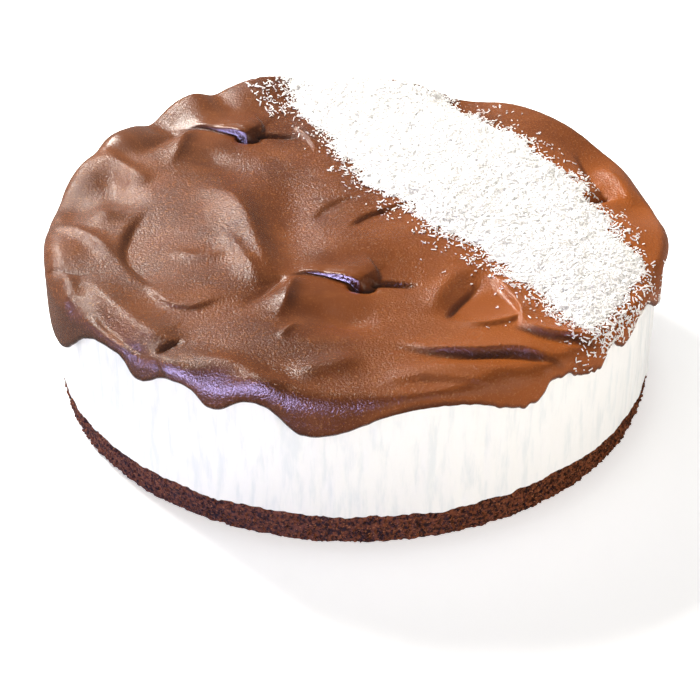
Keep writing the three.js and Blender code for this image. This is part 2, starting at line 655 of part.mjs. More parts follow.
// Flakes that lie on the chocolate just outside the band.
function strayFlakes() {
  const flakes = [];
  for (let i = 0; flakes.length < STRAY_FLAKES; i++) {
    const [alongShare, acrossShare] = evenShare(i);
    const along = THREE.MathUtils.lerp(BAND_START, BAND_END, alongShare);
    const across = THREE.MathUtils.lerp(0, RING_RADIUS, acrossShare);
    const outside = Math.max(nearEdge(along) - across, across - farEdge(along));
    const [x, y] = bandPlace(along, across);
    const onTop = Math.hypot(x, y) < BAND_RIM;
    if (onTop && outside > STRAY_NEAREST && outside < STRAY_FURTHEST) {
      flakes.push(flakeAt(x, y, topAt(x, y) + 0.2 * FLAKE.thickness));
    }
  }
  return flakes;
}

// ------------------------------------------------------------------ the cake

const chocolate = toSolid(chocolateSkin());
const raised = chocolate.translate([0, 0, GAP]);
const chocolateWithFlakes = largestBody(strayFlakes().reduce((sum, f) => sum.add(f), chocolate));
const drift = largestBody(
  flakesOnDrift().reduce((sum, flake) => sum.add(flake), driftCore())
    .subtract(raised).subtract(chocolate),
);

function piece(name, geometry, color, roughness) {
  const material = new THREE.MeshStandardMaterial({ color, roughness, metalness: 0 });
  const mesh = new THREE.Mesh(geometry, material);
  mesh.name = name;
  return mesh;
}

const cake = new THREE.Group();
cake.name = 'coconut_cake';
cake.add(piece('crumb_base', crumbBase(), 0x3c2620, 0.95));
cake.add(piece('cream_filling', creamFilling(), 0xf3f0ea, 0.55));
cake.add(piece('chocolate_topping', toGeometry(chocolateWithFlakes), 0xa56e50, 0.4));
cake.add(piece('coconut_drift', toGeometry(drift), 0xfbf8f0, 0.85));

export default cake;
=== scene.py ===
# %% [markdown]
# # A coconut cake
#
# This lesson dresses a chilled cake: a dark crumb base, a tall white cream filling, a milk
# chocolate top spread with a spatula, and a slanting band of grated coconut. The solid model of
# the cake is loaded first and never changes. Every finer surface that follows is worked out in
# the same frame, so each piece already sits in its place.

# %% Load the frame
import itertools

import bpy
import numpy as np
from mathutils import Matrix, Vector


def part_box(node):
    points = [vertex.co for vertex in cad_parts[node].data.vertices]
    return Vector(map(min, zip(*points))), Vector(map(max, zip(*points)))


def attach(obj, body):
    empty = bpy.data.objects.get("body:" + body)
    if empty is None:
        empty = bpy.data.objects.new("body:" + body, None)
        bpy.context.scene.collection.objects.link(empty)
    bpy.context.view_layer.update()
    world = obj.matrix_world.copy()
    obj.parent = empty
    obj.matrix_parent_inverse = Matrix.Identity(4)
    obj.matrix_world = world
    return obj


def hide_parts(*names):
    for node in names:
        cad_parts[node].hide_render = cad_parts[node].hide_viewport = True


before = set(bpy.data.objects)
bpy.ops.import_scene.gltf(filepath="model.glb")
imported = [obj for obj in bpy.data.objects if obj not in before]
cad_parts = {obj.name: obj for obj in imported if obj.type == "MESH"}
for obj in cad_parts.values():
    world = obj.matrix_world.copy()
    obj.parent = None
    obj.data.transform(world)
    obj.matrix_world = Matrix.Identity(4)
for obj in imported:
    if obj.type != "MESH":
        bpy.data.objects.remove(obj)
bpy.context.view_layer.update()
for node in sorted(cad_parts):
    low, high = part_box(node)
    print(node, "from", [round(v, 4) for v in low], "to", [round(v, 4) for v in high])

# %% [markdown]
# ## The sizes that everything follows
#
# Blender counts in metres, but a cake is easier to think about in millimetres. All shapes below
# are worked out in millimetres and turned into metres once, when a mesh is made.

# %% Main sizes
MM = 0.001
RING_RADIUS = 120.0       # the cream was set in a 24 cm ring
GAP = 0.3                 # left between neighbouring solids
FILLING_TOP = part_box("cream_filling")[1].z / MM
CRUMB_TOP = 13.0
CRUMB_RADIUS = 119.0

# %% [markdown]
# ## Camera
#
# The cake was photographed from a little above, with a long lens from close to a metre away. A
# camera like that is described by how far it stands, how steeply it looks down and which point
# it looks at. The picture is square, so the lens follows from the width of the sensor.

# %% Camera
SENSOR = 36.0
CAMERA_DISTANCE = 900.0
CAMERA_ELEVATION = np.radians(34.5)
CAMERA_ZOOM = 3.129       # how many picture widths the distance to the object spans
LOOK_ACROSS = -2.0
LOOK_UP = 4.1

forward = np.array([0.0, np.cos(CAMERA_ELEVATION), -np.sin(CAMERA_ELEVATION)])
upward = np.array([0.0, np.sin(CAMERA_ELEVATION), np.cos(CAMERA_ELEVATION)])
target = np.array([LOOK_ACROSS, 0.0, 0.0]) + upward * LOOK_UP
camera = bpy.data.objects.new("camera", bpy.data.cameras.new("camera"))
camera.data.sensor_width = SENSOR
camera.data.lens = SENSOR * CAMERA_ZOOM
camera.data.clip_start = 0.01
camera.location = (target - forward * CAMERA_DISTANCE) * MM
camera.rotation_euler = (np.pi / 2 - CAMERA_ELEVATION, 0.0, 0.0)
bpy.context.scene.collection.objects.link(camera)
bpy.context.scene.camera = camera
print("camera at", [round(v, 3) for v in camera.location])

# %% [markdown]
# ## Light
#
# A cake like this is lit by a large window: soft light from behind on the left, a cooler glow
# low in front on the left, and a warm return from the right. Area lights do that. One lamp could
# serve as the window, but chocolate is shiny and takes more of it in its gloss than in its
# colour. So one lamp gives the soft light and stays out of the gloss, and two others show in the
# gloss alone: a small one for the glints on the ridges and a bluish one for the sheen on the rim.

# %% Light
CAKE_MIDDLE = (0, 0, 50)
ROOM_LIGHT = 0.30


def area_light(name, place, size, power, colour):
    """A square lamp that faces the middle of the cake. Place and size are in millimetres. Its
    turn is the angle from straight down, then the compass angle of its place."""
    lamp = bpy.data.objects.new(name, bpy.data.lights.new(name, "AREA"))
    lamp.data.size = size * MM
    lamp.data.energy = power
    lamp.data.color = colour
    lamp.location = np.array(place) * MM
    away = np.array(place, float) - np.array(CAKE_MIDDLE, float)
    level = np.hypot(away[0], away[1])
    lamp.rotation_euler = (np.arctan2(level, away[2]), 0.0, np.arctan2(away[0], -away[1]))
    bpy.context.scene.collection.objects.link(lamp)
    return lamp


window = area_light("window", place=(-560, 620, 700), size=360, power=32.0,
                    colour=(1.0, 0.97, 0.93))
window.visible_glossy = False
glint = area_light("glint", place=(-540, 670, 720), size=170, power=17.0,
                   colour=(1.0, 0.95, 0.88))
glint.visible_diffuse = False
low_window = area_light("low_window", place=(-690, -650, 280), size=520, power=70.0,
                        colour=(0.56, 0.5, 1.0))
low_window.visible_diffuse = False
area_light("warm_wall", place=(640, -740, 200), size=500, power=4.0, colour=(1.0, 0.87, 0.72))

world = bpy.data.worlds.new("studio")
world.use_nodes = True
world.node_tree.nodes["Background"].inputs["Color"].default_value = (1, 1, 1, 1)
world.node_tree.nodes["Background"].inputs["Strength"].default_value = ROOM_LIGHT
bpy.context.scene.world = world
bpy.context.scene.view_settings.view_transform = "Standard"
bpy.context.scene.view_settings.look = "None"

# %% [markdown]
# ## Shader maths as expressions
#
# A finish is a graph of nodes. It could be wired by hand, but arithmetic is easier to read: a
# small class wraps one socket, and adding, subtracting or multiplying it adds the right Math
# node. A second class holds the material and adds all other nodes through one method.

# %% Shader maths
class Signal:
    """One output socket of a finish. Arithmetic on it adds Math nodes."""

    def __init__(self, finish, socket):
        self.finish = finish
        self.socket = socket

    def maths(self, operation, first, second):
        """A Math node on two signals or numbers."""
        return self.finish.node("ShaderNodeMath", {"operation": operation}, {0: first, 1: second})

    # sum, difference and product, and the same with a number on the left
    def __add__(self, other):
        return self.maths("ADD", self, other)

    def __radd__(self, other):
        return self.maths("ADD", other, self)

    def __sub__(self, other):
        return self.maths("SUBTRACT", self, other)

    def __rsub__(self, other):
        return self.maths("SUBTRACT", other, self)

    def __mul__(self, other):
        return self.maths("MULTIPLY", self, other)

    def __rmul__(self, other):
        return self.maths("MULTIPLY", other, self)

    def ramp(self, low, high):
        """0 below low, 1 above high, and smooth between."""
        return self.finish.node("ShaderNodeMapRange", {"interpolation_type": "SMOOTHSTEP"},
                                {"Value": self, "From Min": low, "From Max": high})


class Finish:
    """A material with one Principled shader."""

    def __init__(self, name):
        self.material = bpy.data.materials.new(name)
        self.material.use_nodes = True
        self.tree = self.material.node_tree
        self.shader = self.tree.nodes["Principled BSDF"]
        self.place = self.node("ShaderNodeTexCoord", {}, {}, "Object")

    def node(self, kind, settings, values, output=0):
        """Adds a node: its settings first, then the values or links of its sockets."""
        made = self.tree.nodes.new(kind)
        for key, value in settings.items():
            setattr(made, key, value)
        self.fill(made, values)
        return Signal(self, made.outputs[output])

    def fill(self, made, values):
        """Links a signal to a socket, or sets the socket to a colour or a number."""
        for key, value in values.items():
            if isinstance(value, Signal):
                self.tree.links.new(value.socket, made.inputs[key])
            elif isinstance(value, tuple) and len(value) == 3 and made.inputs[key].type == "RGBA":
                made.inputs[key].default_value = (*value, 1.0)
            else:
                made.inputs[key].default_value = value

    def noise(self, size, detail=2.0, roughness=0.5, place=None):
        """Cloudy noise whose lumps are about size millimetres across, or size units where the
        place is already counted in units of its own."""
        scale = 1.0 / size if place else 1.0 / (size * MM)
        return self.node("ShaderNodeTexNoise", {}, {
            "Vector": place or self.place, "Scale": scale,
            "Detail": detail, "Roughness": roughness,
        }, "Fac")

    def stretched(self, x, y, z):
        """The place, counted in units of the three given sizes in millimetres."""
        return self.node("ShaderNodeMapping", {}, {
            "Vector": self.place, "Scale": (1 / (x * MM), 1 / (y * MM), 1 / (z * MM)),
        }, "Vector")

    def mix(self, share, first, second):
        """Blends two colours."""
        return self.node("ShaderNodeMix", {"data_type": "RGBA"},
                         {"Factor": share, 6: first, 7: second}, 2)

    def bump(self, height, strength, depth, normal=None):
        """A Bump node: depth is in millimetres."""
        values = {"Height": height, "Strength": strength, "Distance": depth * MM}
        if normal is not None:
            values["Normal"] = normal
        return self.node("ShaderNodeBump", {}, values, "Normal")

    def shade(self, **values):
        """Sets sockets of the shader; an underscore in a name stands for a space."""
        self.fill(self.shader, {key.replace("_", " "): value for key, value in values.items()})
        return self.material


def from_screen(red, green, blue):
    """A colour as seen on a screen, 0 to 255, in the linear numbers that a shader takes."""
    seen = np.array([red, green, blue]) / 255
    linear = np.where(seen <= 0.04045, seen / 12.92, ((seen + 0.055) / 1.055) ** 2.4)
    return tuple(float(v) for v in linear)


print("a grey of 128 on a screen is", round(from_screen(128, 128, 128)[0], 3), "in a shader")

# %% [markdown]
# ## Floor
#
# The floor is nearly white and glows a little, so that it sends light back up the side of the
# cake and its shadows stay pale. It stays out of the gloss, because mirrored in the drips it
# would turn them pale too.

# %% Floor
FLOOR_REACH = 3000.0
FLOOR_GLOW = 0.52

floor_corners = np.array([[-1, -1, 0], [1, -1, 0], [1, 1, 0], [-1, 1, 0]]) * FLOOR_REACH * MM
floor_mesh = bpy.data.meshes.new("floor")
floor_mesh.from_pydata(floor_corners.tolist(), [], [(0, 1, 2, 3)])
floor = bpy.data.objects.new("floor", floor_mesh)
bpy.context.scene.collection.objects.link(floor)
floor_finish = Finish("pale floor")
floor_mesh.materials.append(floor_finish.shade(
    Base_Color=(0.86, 0.86, 0.86), Roughness=0.9, Specular_IOR_Level=0.1,
    Emission_Color=(1.0, 1.0, 1.0), Emission_Strength=FLOOR_GLOW))
floor.visible_glossy = False
print("floor reaches", FLOOR_REACH, "mm each way")

# %% [markdown]
# ## From arrays to a mesh
#
# Each surface below is a whole array of corners and a whole array of faces. One function puts
# them into a mesh at once, which is much quicker than adding corners one by one.

# %% Arrays to a mesh
def make_piece(name, corners, faces, material, smooth=True):
    """Makes an object of corners (millimetres) and of face arrays with three or four columns."""
    mesh = bpy.data.meshes.new(name)
    mesh.vertices.add(len(corners))
    mesh.vertices.foreach_set("co", (corners * MM).astype(np.float32).ravel())
    counts = np.concatenate([np.full(len(part), part.shape[1]) for part in faces])
    indices = np.concatenate([part.ravel() for part in faces])
    mesh.loops.add(len(indices))
    mesh.loops.foreach_set("vertex_index", indices.astype(np.int32))
    mesh.polygons.add(len(counts))
    starts = np.concatenate([[0], np.cumsum(counts)[:-1]])
    mesh.polygons.foreach_set("loop_start", starts.astype(np.int32))
    mesh.polygons.foreach_set("use_smooth", np.full(len(counts), smooth))
    mesh.update(calc_edges=True)
    mesh.validate()
    mesh.materials.append(material)
    piece = bpy.data.objects.new(name, mesh)
    bpy.context.scene.collection.objects.link(piece)
    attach(piece, "root")
    print(name, "has", int((counts - 2).sum()), "triangles")
    return piece


def ring_faces(first, second):
    """Quads between two closed rings of corners, the first ring above the second."""
    return np.stack([first, second, np.roll(second, -1), np.roll(first, -1)], axis=1)


def fan_faces(ring, centre, upward):
    """Triangles from a ring to its centre, facing up or down."""
    following = np.roll(ring, -1)
    middle = np.full(len(ring), centre)
    order = [middle, ring, following] if upward else [middle, following, ring]
    return np.stack(order, axis=1)


print("a ring of 8 corners is closed by", len(fan_faces(np.arange(8), 8, True)), "triangles")

# %% [markdown]
# ## Unevenness that repeats
#
# Handmade things are uneven. Three sines in turned directions give slow waves, and random heights
# on a lattice, blended smoothly between its corners, give a livelier unevenness. Both give the
# same answer on every run.

# %% Unevenness
WAVE_TURN = 2.4           # radians between one sine and the next
WAVE_STRETCH = 0.23       # how much longer each sine is than the one before
LATTICE_PRIMES = (73856093, 19349663, 83492791)
SEED_PRIME = 668265263
SHUFFLE = (2246822519, 3266489917)
WORD = 0xFFFFFFFF         # keeps a whole number to 32 bits


def ripple(x, y, wavelength, phase):
    """Mean of three sines, each turned and stretched from the one before; between -1 and 1."""
    total = 0.0
    for i in range(3):
        turn = phase + i * WAVE_TURN
        across = x * np.cos(turn) + y * np.sin(turn)
        length = wavelength * (1 + WAVE_STRETCH * i)
        total = total + np.sin(2 * np.pi * across / length + 5 * phase + i)
    return total / 3


def lattice_noise(points, cell, seed):
    """Random heights at the corners of cubes of side cell, blended with 3t^2 - 2t^3. A corner's
    three numbers and the seed are multiplied by large primes and shuffled to give its height."""
    scaled = np.asarray(points, float) / cell
    corner = np.floor(scaled).astype(np.int64)
    share = scaled - corner
    share = share * share * (3 - 2 * share)
    total = np.zeros(scaled.shape[:-1])
    for offset in itertools.product((0, 1), repeat=3):
        whole = corner + offset
        key = np.bitwise_xor.reduce(whole * np.array(LATTICE_PRIMES), axis=-1)
        key = (key ^ (seed * SEED_PRIME)) & WORD
        key = ((key ^ (key >> 15)) * SHUFFLE[0]) & WORD
        key = ((key ^ (key >> 13)) * SHUFFLE[1]) & WORD
        height = ((key ^ (key >> 16)) & 0xFFFF) / 32767.5 - 1
        total = total + height * np.prod(np.where(offset, share, 1 - share), axis=-1)
    return total


def smoothstep(value, low, high):
    """0 below low, 1 above high, 3t^2 - 2t^3 between."""
    share = np.clip((value - low) / (high - low), 0, 1)
    return share * share * (3 - 2 * share)


def bell(distance, width, sharp):
    """exp(-(distance / width)^sharp): 2 is a soft back, 1 is an edge."""
    return np.exp(-(np.abs(distance) / width) ** sharp)


def on_ring(theta, radius):
    """Points at the angles theta on a level ring."""
    return np.stack([radius * np.cos(theta), radius * np.sin(theta), 0 * theta], -1)


def ragged(theta, cell, seed):
    """Random steps round the side, about one cell wide, between -1 and 1."""
    return lattice_noise(on_ring(theta, RING_RADIUS), cell, seed)


print("unevenness of five places on a lattice:",
      lattice_noise(on_ring(np.arange(5.0), RING_RADIUS), 9, 1).round(2))

# %% [markdown]
# ## Where the shoulder slumped
#
# The set cream gave way a little at its edge when the warm chocolate was spread over it. Each
# slump is a bell round one angle, and it sets in over the last stretch before the rim. The cream
# and the chocolate share it, so they stay in contact.

# %% Slumps
# middle, width before and after it in degrees, drop in millimetres
SLUMPS = [
    (171, 9, 9, 6.0), (153, 3, 3, 2.0), (136, 4, 3.5, 3.5), (121, 3, 3, 2.5), (67, 9, 7, 5.5),
    (30, 13, 10, 4.5), (8, 9, 12, 5.5),
]
SHOULDER = (92.0, 114.0)  # radii between which the top falls away where it slumped


def past_angle(theta, middle):
    """Degrees from the middle to each angle, between -180 and 180."""
    return (np.degrees(theta) - middle + 540) % 360 - 180


def slump_at(theta):
    """How far the shoulder sank at each angle: a bell for each slump."""
    total = np.zeros_like(theta)
    for middle, before, after, drop in SLUMPS:
        past = past_angle(theta, middle)
        total = total + drop * bell(past, np.where(past < 0, before, after), 2)
    return total


def shoulder_drop(theta, radius):
    """The slump, which sets in between the two radii of the shoulder."""
    return slump_at(theta) * smoothstep(radius, *SHOULDER)


print("deepest slump", slump_at(np.linspace(0, 2 * np.pi, 361)).max().round(1), "mm")

# %% [markdown]
# ## The rim of the chocolate
#
# The spread chocolate runs a little way down the side. Its lower edge could be drawn point by
# point, but a level line with a bell taken off it for each drip is easier to shape: a drip has a
# place, two widths, a length and a bulge. Where the edge lies low there is room for a full round
# bend; where it lies high the bend is tighter. On the front right the edge was torn, so it frays.

# %% Rim
TOP_HEIGHT = 67.5
THINNEST = 1.3
RIM_RADIUS = 121.8
CAP_RADIUS = 110.0
BEND, BEND_LIMIT = 7.0, 0.55      # radius of the bend, and its largest share of the rim's height
LIP, LIP_LIMIT = 2.6, 0.32        # the same for the rounded lower edge
EDGE_HEIGHT = 62.0
EDGE_WAVE, RIM_WAVE = 0.5, 0.4    # slow waves of the lower edge and of the radius
WAVE_RADIUS = 30.0                # the waves are read off a ring of this radius
DRIP_SHARP = 2.4                  # a little blunter than a bell
EVEN_EDGE, FRAYED_EDGE = 0.25, 1.5    # raggedness everywhere, and what is added where it frays
FRAYED_AT, FRAYED_WIDTH = 312.0, 16.0     # in degrees

# middle, width before it and after it in degrees, length and outward bulge in millimetres
DRIPS = [
    (202, 9, 10.5, 21, 1.5), (229.5, 2.8, 4.5, 6.5, 0.6), (245.3, 3.2, 3.7, 6.5, 0.8),
    (262, 5, 11.5, 11, 1.6), (301.5, 9.5, 3, 9.5, 0.8), (317, 9, 2.2, 7.5, 0.6),
    (324.5, 2.5, 4.2, 6.5, 0.6), (341, 4.4, 4, 8.5, 1.2), (355, 6, 7, 3, 1.4),
    (17, 6, 6, 5.5, 0.2), (48, 9, 9, 7, 1.4), (74, 5, 5, 3, 0), (106, 9, 9, 9, 3.4),
    (127, 6, 6, 4, 1.8), (148, 7, 7, 8, 2.2), (163, 4, 4, 3, 1.2), (183, 6, 6, 10, 0.6),
]


def rim_at(theta):
    """Lower edge, outer radius, bend, lip and top at each angle: levels plus a bell for each
    drip."""
    x, y = WAVE_RADIUS * np.cos(theta), WAVE_RADIUS * np.sin(theta)
    slump = slump_at(theta)
    edge = EDGE_HEIGHT - slump + EDGE_WAVE * ripple(x, y, 11, 1.7)
    frayed = bell(past_angle(theta, FRAYED_AT), FRAYED_WIDTH, 2)
    edge = edge + (EVEN_EDGE + FRAYED_EDGE * frayed) * ragged(theta, 2.2, 3)
    radius = RIM_RADIUS + RIM_WAVE * ripple(x, y, 14, 0.6)
    for middle, before, after, hang, bulge in DRIPS:
        past = past_angle(theta, middle)
        share = bell(past, np.where(past < 0, before, after), DRIP_SHARP)
        edge = edge - hang * share
        radius = radius + bulge * share
    top = TOP_HEIGHT - slump
    height = top - edge
    bend, lip = np.minimum(BEND, BEND_LIMIT * height), np.minimum(LIP, LIP_LIMIT * height)
    return edge, radius, bend, lip, top


print(len(DRIPS), "drips, the longest ends at",
      rim_at(np.linspace(0, 2 * np.pi, 361))[0].min().round(1), "mm")

# %% [markdown]
# ## The marks of the spatula
#
# A spatula leaves ridges, creases and scooped basins. Each mark is a stroke: a smooth path, a
# height (below zero for a crease), one width for each side of the path, and how sharp it is. A
# stroke with a thin side is a step. Where the spatula was lifted it pulled up a curl, so a stroke
# may also lean: its ridge is pushed over to the right of the path, and hangs over a hollow.

# %% Strokes
SWELLS = [
    # x, y, half sizes along x and y, height
    # mounds that make the rear outline uneven
    (-42, 112, 16, 14, 4.5), (-68, 97, 15, 12, 4.5), (-97, 62, 11, 12, 3.5), (-108, 36, 8, 12, 1.5),
    # left rim, the middle hollow and the front
    (-100, 4, 6, 8, 2.8), (-113, -23, 9, 12, 2.0), (-26, 0, 12, 34, -3.4), (8, -18, 22, 16, 1.6),
    (-30, -84, 30, 16, 2.0), (-8, -72, 22, 9, -1.4), (52, -58, 10, 10, -1.0),
    # right and rear right
    (78, 56, 24, 24, 1.6), (30, 92, 40, 18, -1.4), (106, -8, 10, 26, 1.6),
]


def stroke(rise, left, right, sharp, peak, lean, path):
    """One mark. Peak is the share of its length at which it is highest."""
    return {"rise": rise, "left": left, "right": right, "sharp": sharp, "peak": peak,
            "lean": lean, "path": np.array(path, float)}


def curl(x, y, plate):
    """A flap pulled up over a hole, a slit on its right and a fold on its left. x and y are the
    flap's tip, plate is how far it reaches back."""
    strokes = [
        stroke(1.5, plate, 0.7, 1.6, 0.75, 1.1,
               [(-30, 6), (-24, 9.5), (-19, 9), (-11, 5.5), (-4, 2.5), (2, -1)]),
        stroke(1.8, 8, 0.9, 1.5, 0.85, 1.2, [(-14, 7.5), (-6, 3.5), (1.5, -1)]),
        stroke(1.7, 0.6, plate, 1.5, 0.7, -0.5, [(1, 21), (4, 13), (6, 5), (2, -1)]),
        stroke(-4.8, 0.9, 1.4, 1.4, 0.5, 0, [(-5, 0), (-2, -2), (2, -3.0), (7, -1.6)]),
        stroke(-3.0, 0.7, 1.5, 1.4, 0.4, 0, [(2, 0.5), (11, 1), (23, -1)]),
        stroke(-1.8, 3, 4, 1.6, 0.3, 0, [(-28, 7), (-35, -4), (-45, -17)]),
        stroke(3.0, 3.2, 6, 1.4, 0.35, 0, [(-24, 8), (-26.5, -4), (-28, -14), (-32, -26)]),
        stroke(-1.4, 7, 7, 2, 0.5, 0, [(-18, -7), (-15, -18), (-5, -26), (8, -24)]),
    ]
    for one in strokes:
        one["path"] = one["path"] + (x, y)
    return strokes


STROKES = curl(2, -47.5, 13) + curl(-45, 66.5, 19) + [
    # long swoop from the rear curl to the front one, with a second ridge inside it
    stroke(4.8, 6, 8, 1.6, 0.5, 0,
           [(-66, 24), (-52, 18), (-45, 5), (-41, -7), (-37, -23), (-33, -36), (-29, -46)]),
    stroke(2.0, 3, 4, 1.6, 0.6, 0, [(-52, -8), (-47, -20), (-41, -34), (-34, -47)]),
    # basin on the left, and the tongue that closes it
    stroke(-3.0, 26, 1.6, 1.5, 0.5, 0,
           [(-80, 10), (-86, -4), (-88.5, -18), (-87, -30), (-80, -42), (-75, -52)]),
    stroke(1.6, 10, 1.4, 1.6, 0.45, 0.3,
           [(-80, -42), (-75, -54), (-68, -62), (-60, -63), (-52, -58), (-42, -53)]),
    stroke(1.2, 3, 3, 2, 0.5, 0, [(-72, -22), (-60, -27), (-48, -25)]),
    # valley and ridges towards the left rim
    stroke(-2.6, 7, 7, 2, 0.5, 0, [(-103, 46), (-96, 24), (-87, 5)]),
    stroke(2.8, 4, 7, 1.7, 0.5, 0, [(-108, 60), (-95, 41), (-82, 28)]),
    stroke(2.2, 4, 3, 1.7, 0.5, 0, [(-119, -1), (-108, -10), (-98, -20), (-92, -30)]),
    stroke(-1.0, 0.7, 1.0, 1.4, 0.3, 0, [(-122, -33), (-108, -39), (-98, -40)]),
    stroke(1.6, 3, 4, 1.8, 0.4, 0, [(-110, -40), (-107, -52), (-110, -64)]),
    # crest over a crease, and the small steps at its end
    stroke(3.2, 8, 4, 1.8, 0.55, 0.2,
           [(-103, -40), (-96, -52), (-88, -66), (-79, -78), (-70, -86), (-60, -88)]),
    stroke(-1.9, 1.8, 5, 1.6, 0.5, 0,
           [(-100, -57), (-93, -71), (-85, -83), (-79, -90), (-72, -94)]),
    stroke(-1.6, 0.9, 1.5, 1.4, 0.5, 0, [(-72, -94), (-67, -90), (-62, -86)]),
    stroke(2.0, 8, 1.2, 1.5, 0.5, 0.4, [(-71, -93), (-68, -102), (-65, -109), (-60, -120)]),
    # rolled front edge
    stroke(3.4, 6, 5, 1.8, 0.5, 0,
           [(-68, -93), (-54, -100), (-42, -105), (-33, -113), (-20, -120), (-4, -125)]),
    stroke(2.2, 5, 5, 1.8, 0.5, 0, [(-24, -108), (-10, -102), (4, -97)]),
    stroke(1.2, 1.2, 1.6, 1.5, 0.5, 0, [(-28, -86), (-21, -74)]),
    # folds on the right of the front: each ridge hangs over the crease in front of it
    stroke(2.4, 8, 1.4, 1.6, 0.5, 0.9,
           [(12, -84), (26, -90), (42, -91.5), (56, -90.5), (68, -93), (80, -97)]),
    stroke(-1.4, 0.6, 1.7, 1.5, 0.5, 0,
           [(22, -94), (36, -95.5), (54, -94.5), (66, -96.5), (78, -99.5)]),
    stroke(2.2, 5, 5, 2, 0.5, 0, [(8, -106), (32, -104), (54, -105), (76, -108)]),
    stroke(1.0, 3, 1.2, 1.5, 0.5, 0.3, [(6, -113), (20, -109), (38, -110), (56, -111)]),
    stroke(-2.4, 1.5, 3, 1.5, 0.5, 0, [(4, -129), (20, -123), (37, -120), (53, -119), (68, -120)]),
    stroke(2.2, 5, 1.3, 1.5, 0.5, 0.8, [(58, -74), (72, -80), (92, -83)]),
    stroke(-1.1, 0.7, 1.6, 1.5, 0.5, 0, [(60, -79), (75, -85), (92, -86)]),
    stroke(-1.4, 0.9, 2, 1.5, 0.5, 0, [(80, -94), (88, -94), (96, -90)]),
    # pressed facet right of the middle, between a soft ridge and a thin edge
    stroke(-2.2, 6, 8, 1.8, 0.4, 0, [(34, -73), (40, -60), (47, -43), (52, -30)]),
    stroke(1.2, 4, 4, 1.9, 0.5, 0, [(28, -64), (33, -50), (42, -33)]),
    stroke(-1.2, 0.9, 2.0, 1.5, 0.3, 0, [(33, -71), (38, -60), (44, -50), (48, -42)]),
    stroke(1.4, 3, 1.0, 1.5, 0.5, 0.3, [(34, -72), (45, -75), (56, -72), (62, -66)]),
    stroke(2.6, 5, 1.0, 1.4, 0.5, 0.5, [(51, -36), (57, -53), (61, -65), (61, -77)]),
    # small creases in the middle and behind
    stroke(-1.5, 0.8, 3, 1.4, 0.4, 0, [(-3, -8), (4, 2), (13, 8), (25, 14)]),
    stroke(-0.9, 1.0, 4, 1.6, 0.4, 0, [(-16, 2), (-10, 12), (2, 19)]),
    stroke(1.3, 3, 0.8, 1.5, 0.4, 0.3, [(-26, 77), (-20, 66), (-15, 53)]),
    # rear right: a crease over a small hollow
    stroke(-3.7, 5, 1.4, 1.4, 0.6, 0, [(92, 60), (95, 42), (99, 30), (103, 20)]),
    stroke(-4.0, 1.5, 3, 1.4, 0.5, 0, [(90, 12), (97, 19), (104, 27)]),
    stroke(2.4, 5, 3, 1.5, 0.5, 0, [(100, 50), (108, 34), (112, 16)]),
]
print(len(STROKES), "strokes and", len(SWELLS), "swells")

# %% [markdown]
# ## Distance to a path
#
# The height of a stroke depends on how far a point lies from its path, on which side, and how far
# along. Brushes in sculpt mode would give the same marks, but not the same ones on every run. The
# path is a Catmull-Rom curve, cut into short straight steps; for each point the nearest step
# counts. All points are compared with a step at once.

# %% Distance to a path
PATH_STEPS = 10


def catmull_rom(points):
    """Smooth curve through points: on each span, a cubic whose slopes are half the chord between
    the neighbours on either side."""
    ends = np.vstack([points[:1], points, points[-1:]])
    t = (np.arange(PATH_STEPS) / PATH_STEPS)[:, None]
    spans = []
    for i in range(len(points) - 1):
        before, start, end, after = ends[i:i + 4]
        slope_in, slope_out = (end - before) / 2, (after - start) / 2
        spans.append((2 * start - 2 * end + slope_in + slope_out) * t ** 3
                     + (-3 * start + 3 * end - 2 * slope_in - slope_out) * t ** 2
                     + slope_in * t + start)
    return np.vstack(spans + [points[-1:]])


def nearest_on_path(path, points):
    """Signed distance (left is positive), share of the length, and the direction to the right."""
    distance = np.full(len(points), np.inf)
    along = np.zeros(len(points))
    right = np.zeros((len(points), 2))
    for i in range(len(path) - 1):
        step = path[i + 1] - path[i]
        offset = points - path[i]
        share = np.clip(offset @ step / (step @ step), 0, 1)
        gap = np.hypot(*(offset - share[:, None] * step).T)
        nearer = gap < np.abs(distance)
        side = np.where(step[0] * offset[:, 1] - step[1] * offset[:, 0] < 0, -1.0, 1.0)
        distance = np.where(nearer, gap * side, distance)
        along = np.where(nearer, (i + share) / (len(path) - 1), along)
        right[nearer] = np.array([step[1], -step[0]]) / np.hypot(*step)
    return distance, along, right


print("a bent path becomes", len(catmull_rom(STROKES[0]["path"])), "points")

# %% [markdown]
# ## Relief and creases
#
# The relief is the sum of a slow wave, the swells and all strokes, and a leaning stroke also
# pushes the skin sideways. Light hardly reaches into a narrow crease or under an overhang. The
# corners are too far apart to show that by themselves, so how deep a point lies in a crease is
# worked out as well, and painted into the colour as shade.

# %% Relief
SLOW_WAVE = 0.5
STROKE_REACH = 4.5        # widths from its path at which a stroke has died out
FULL_AT = 0.7             # share of the way to its peak at which a stroke is at full height
NARROW = 1.1              # a crease with a side under this width holds a shadow
HANGS_OVER = 0.7          # a ridge that leans this much holds a shadow too
SHADOW_REACH = 9.0        # no shadow is wider than this
SHADOW_ENDS = 0.25        # share of the path over which it fades at either end
DARKEST_DEPTH = 3.5       # a crease this deep is quite dark
OVERHANG_SHADE = 0.85     # the darkest that an overhang gets


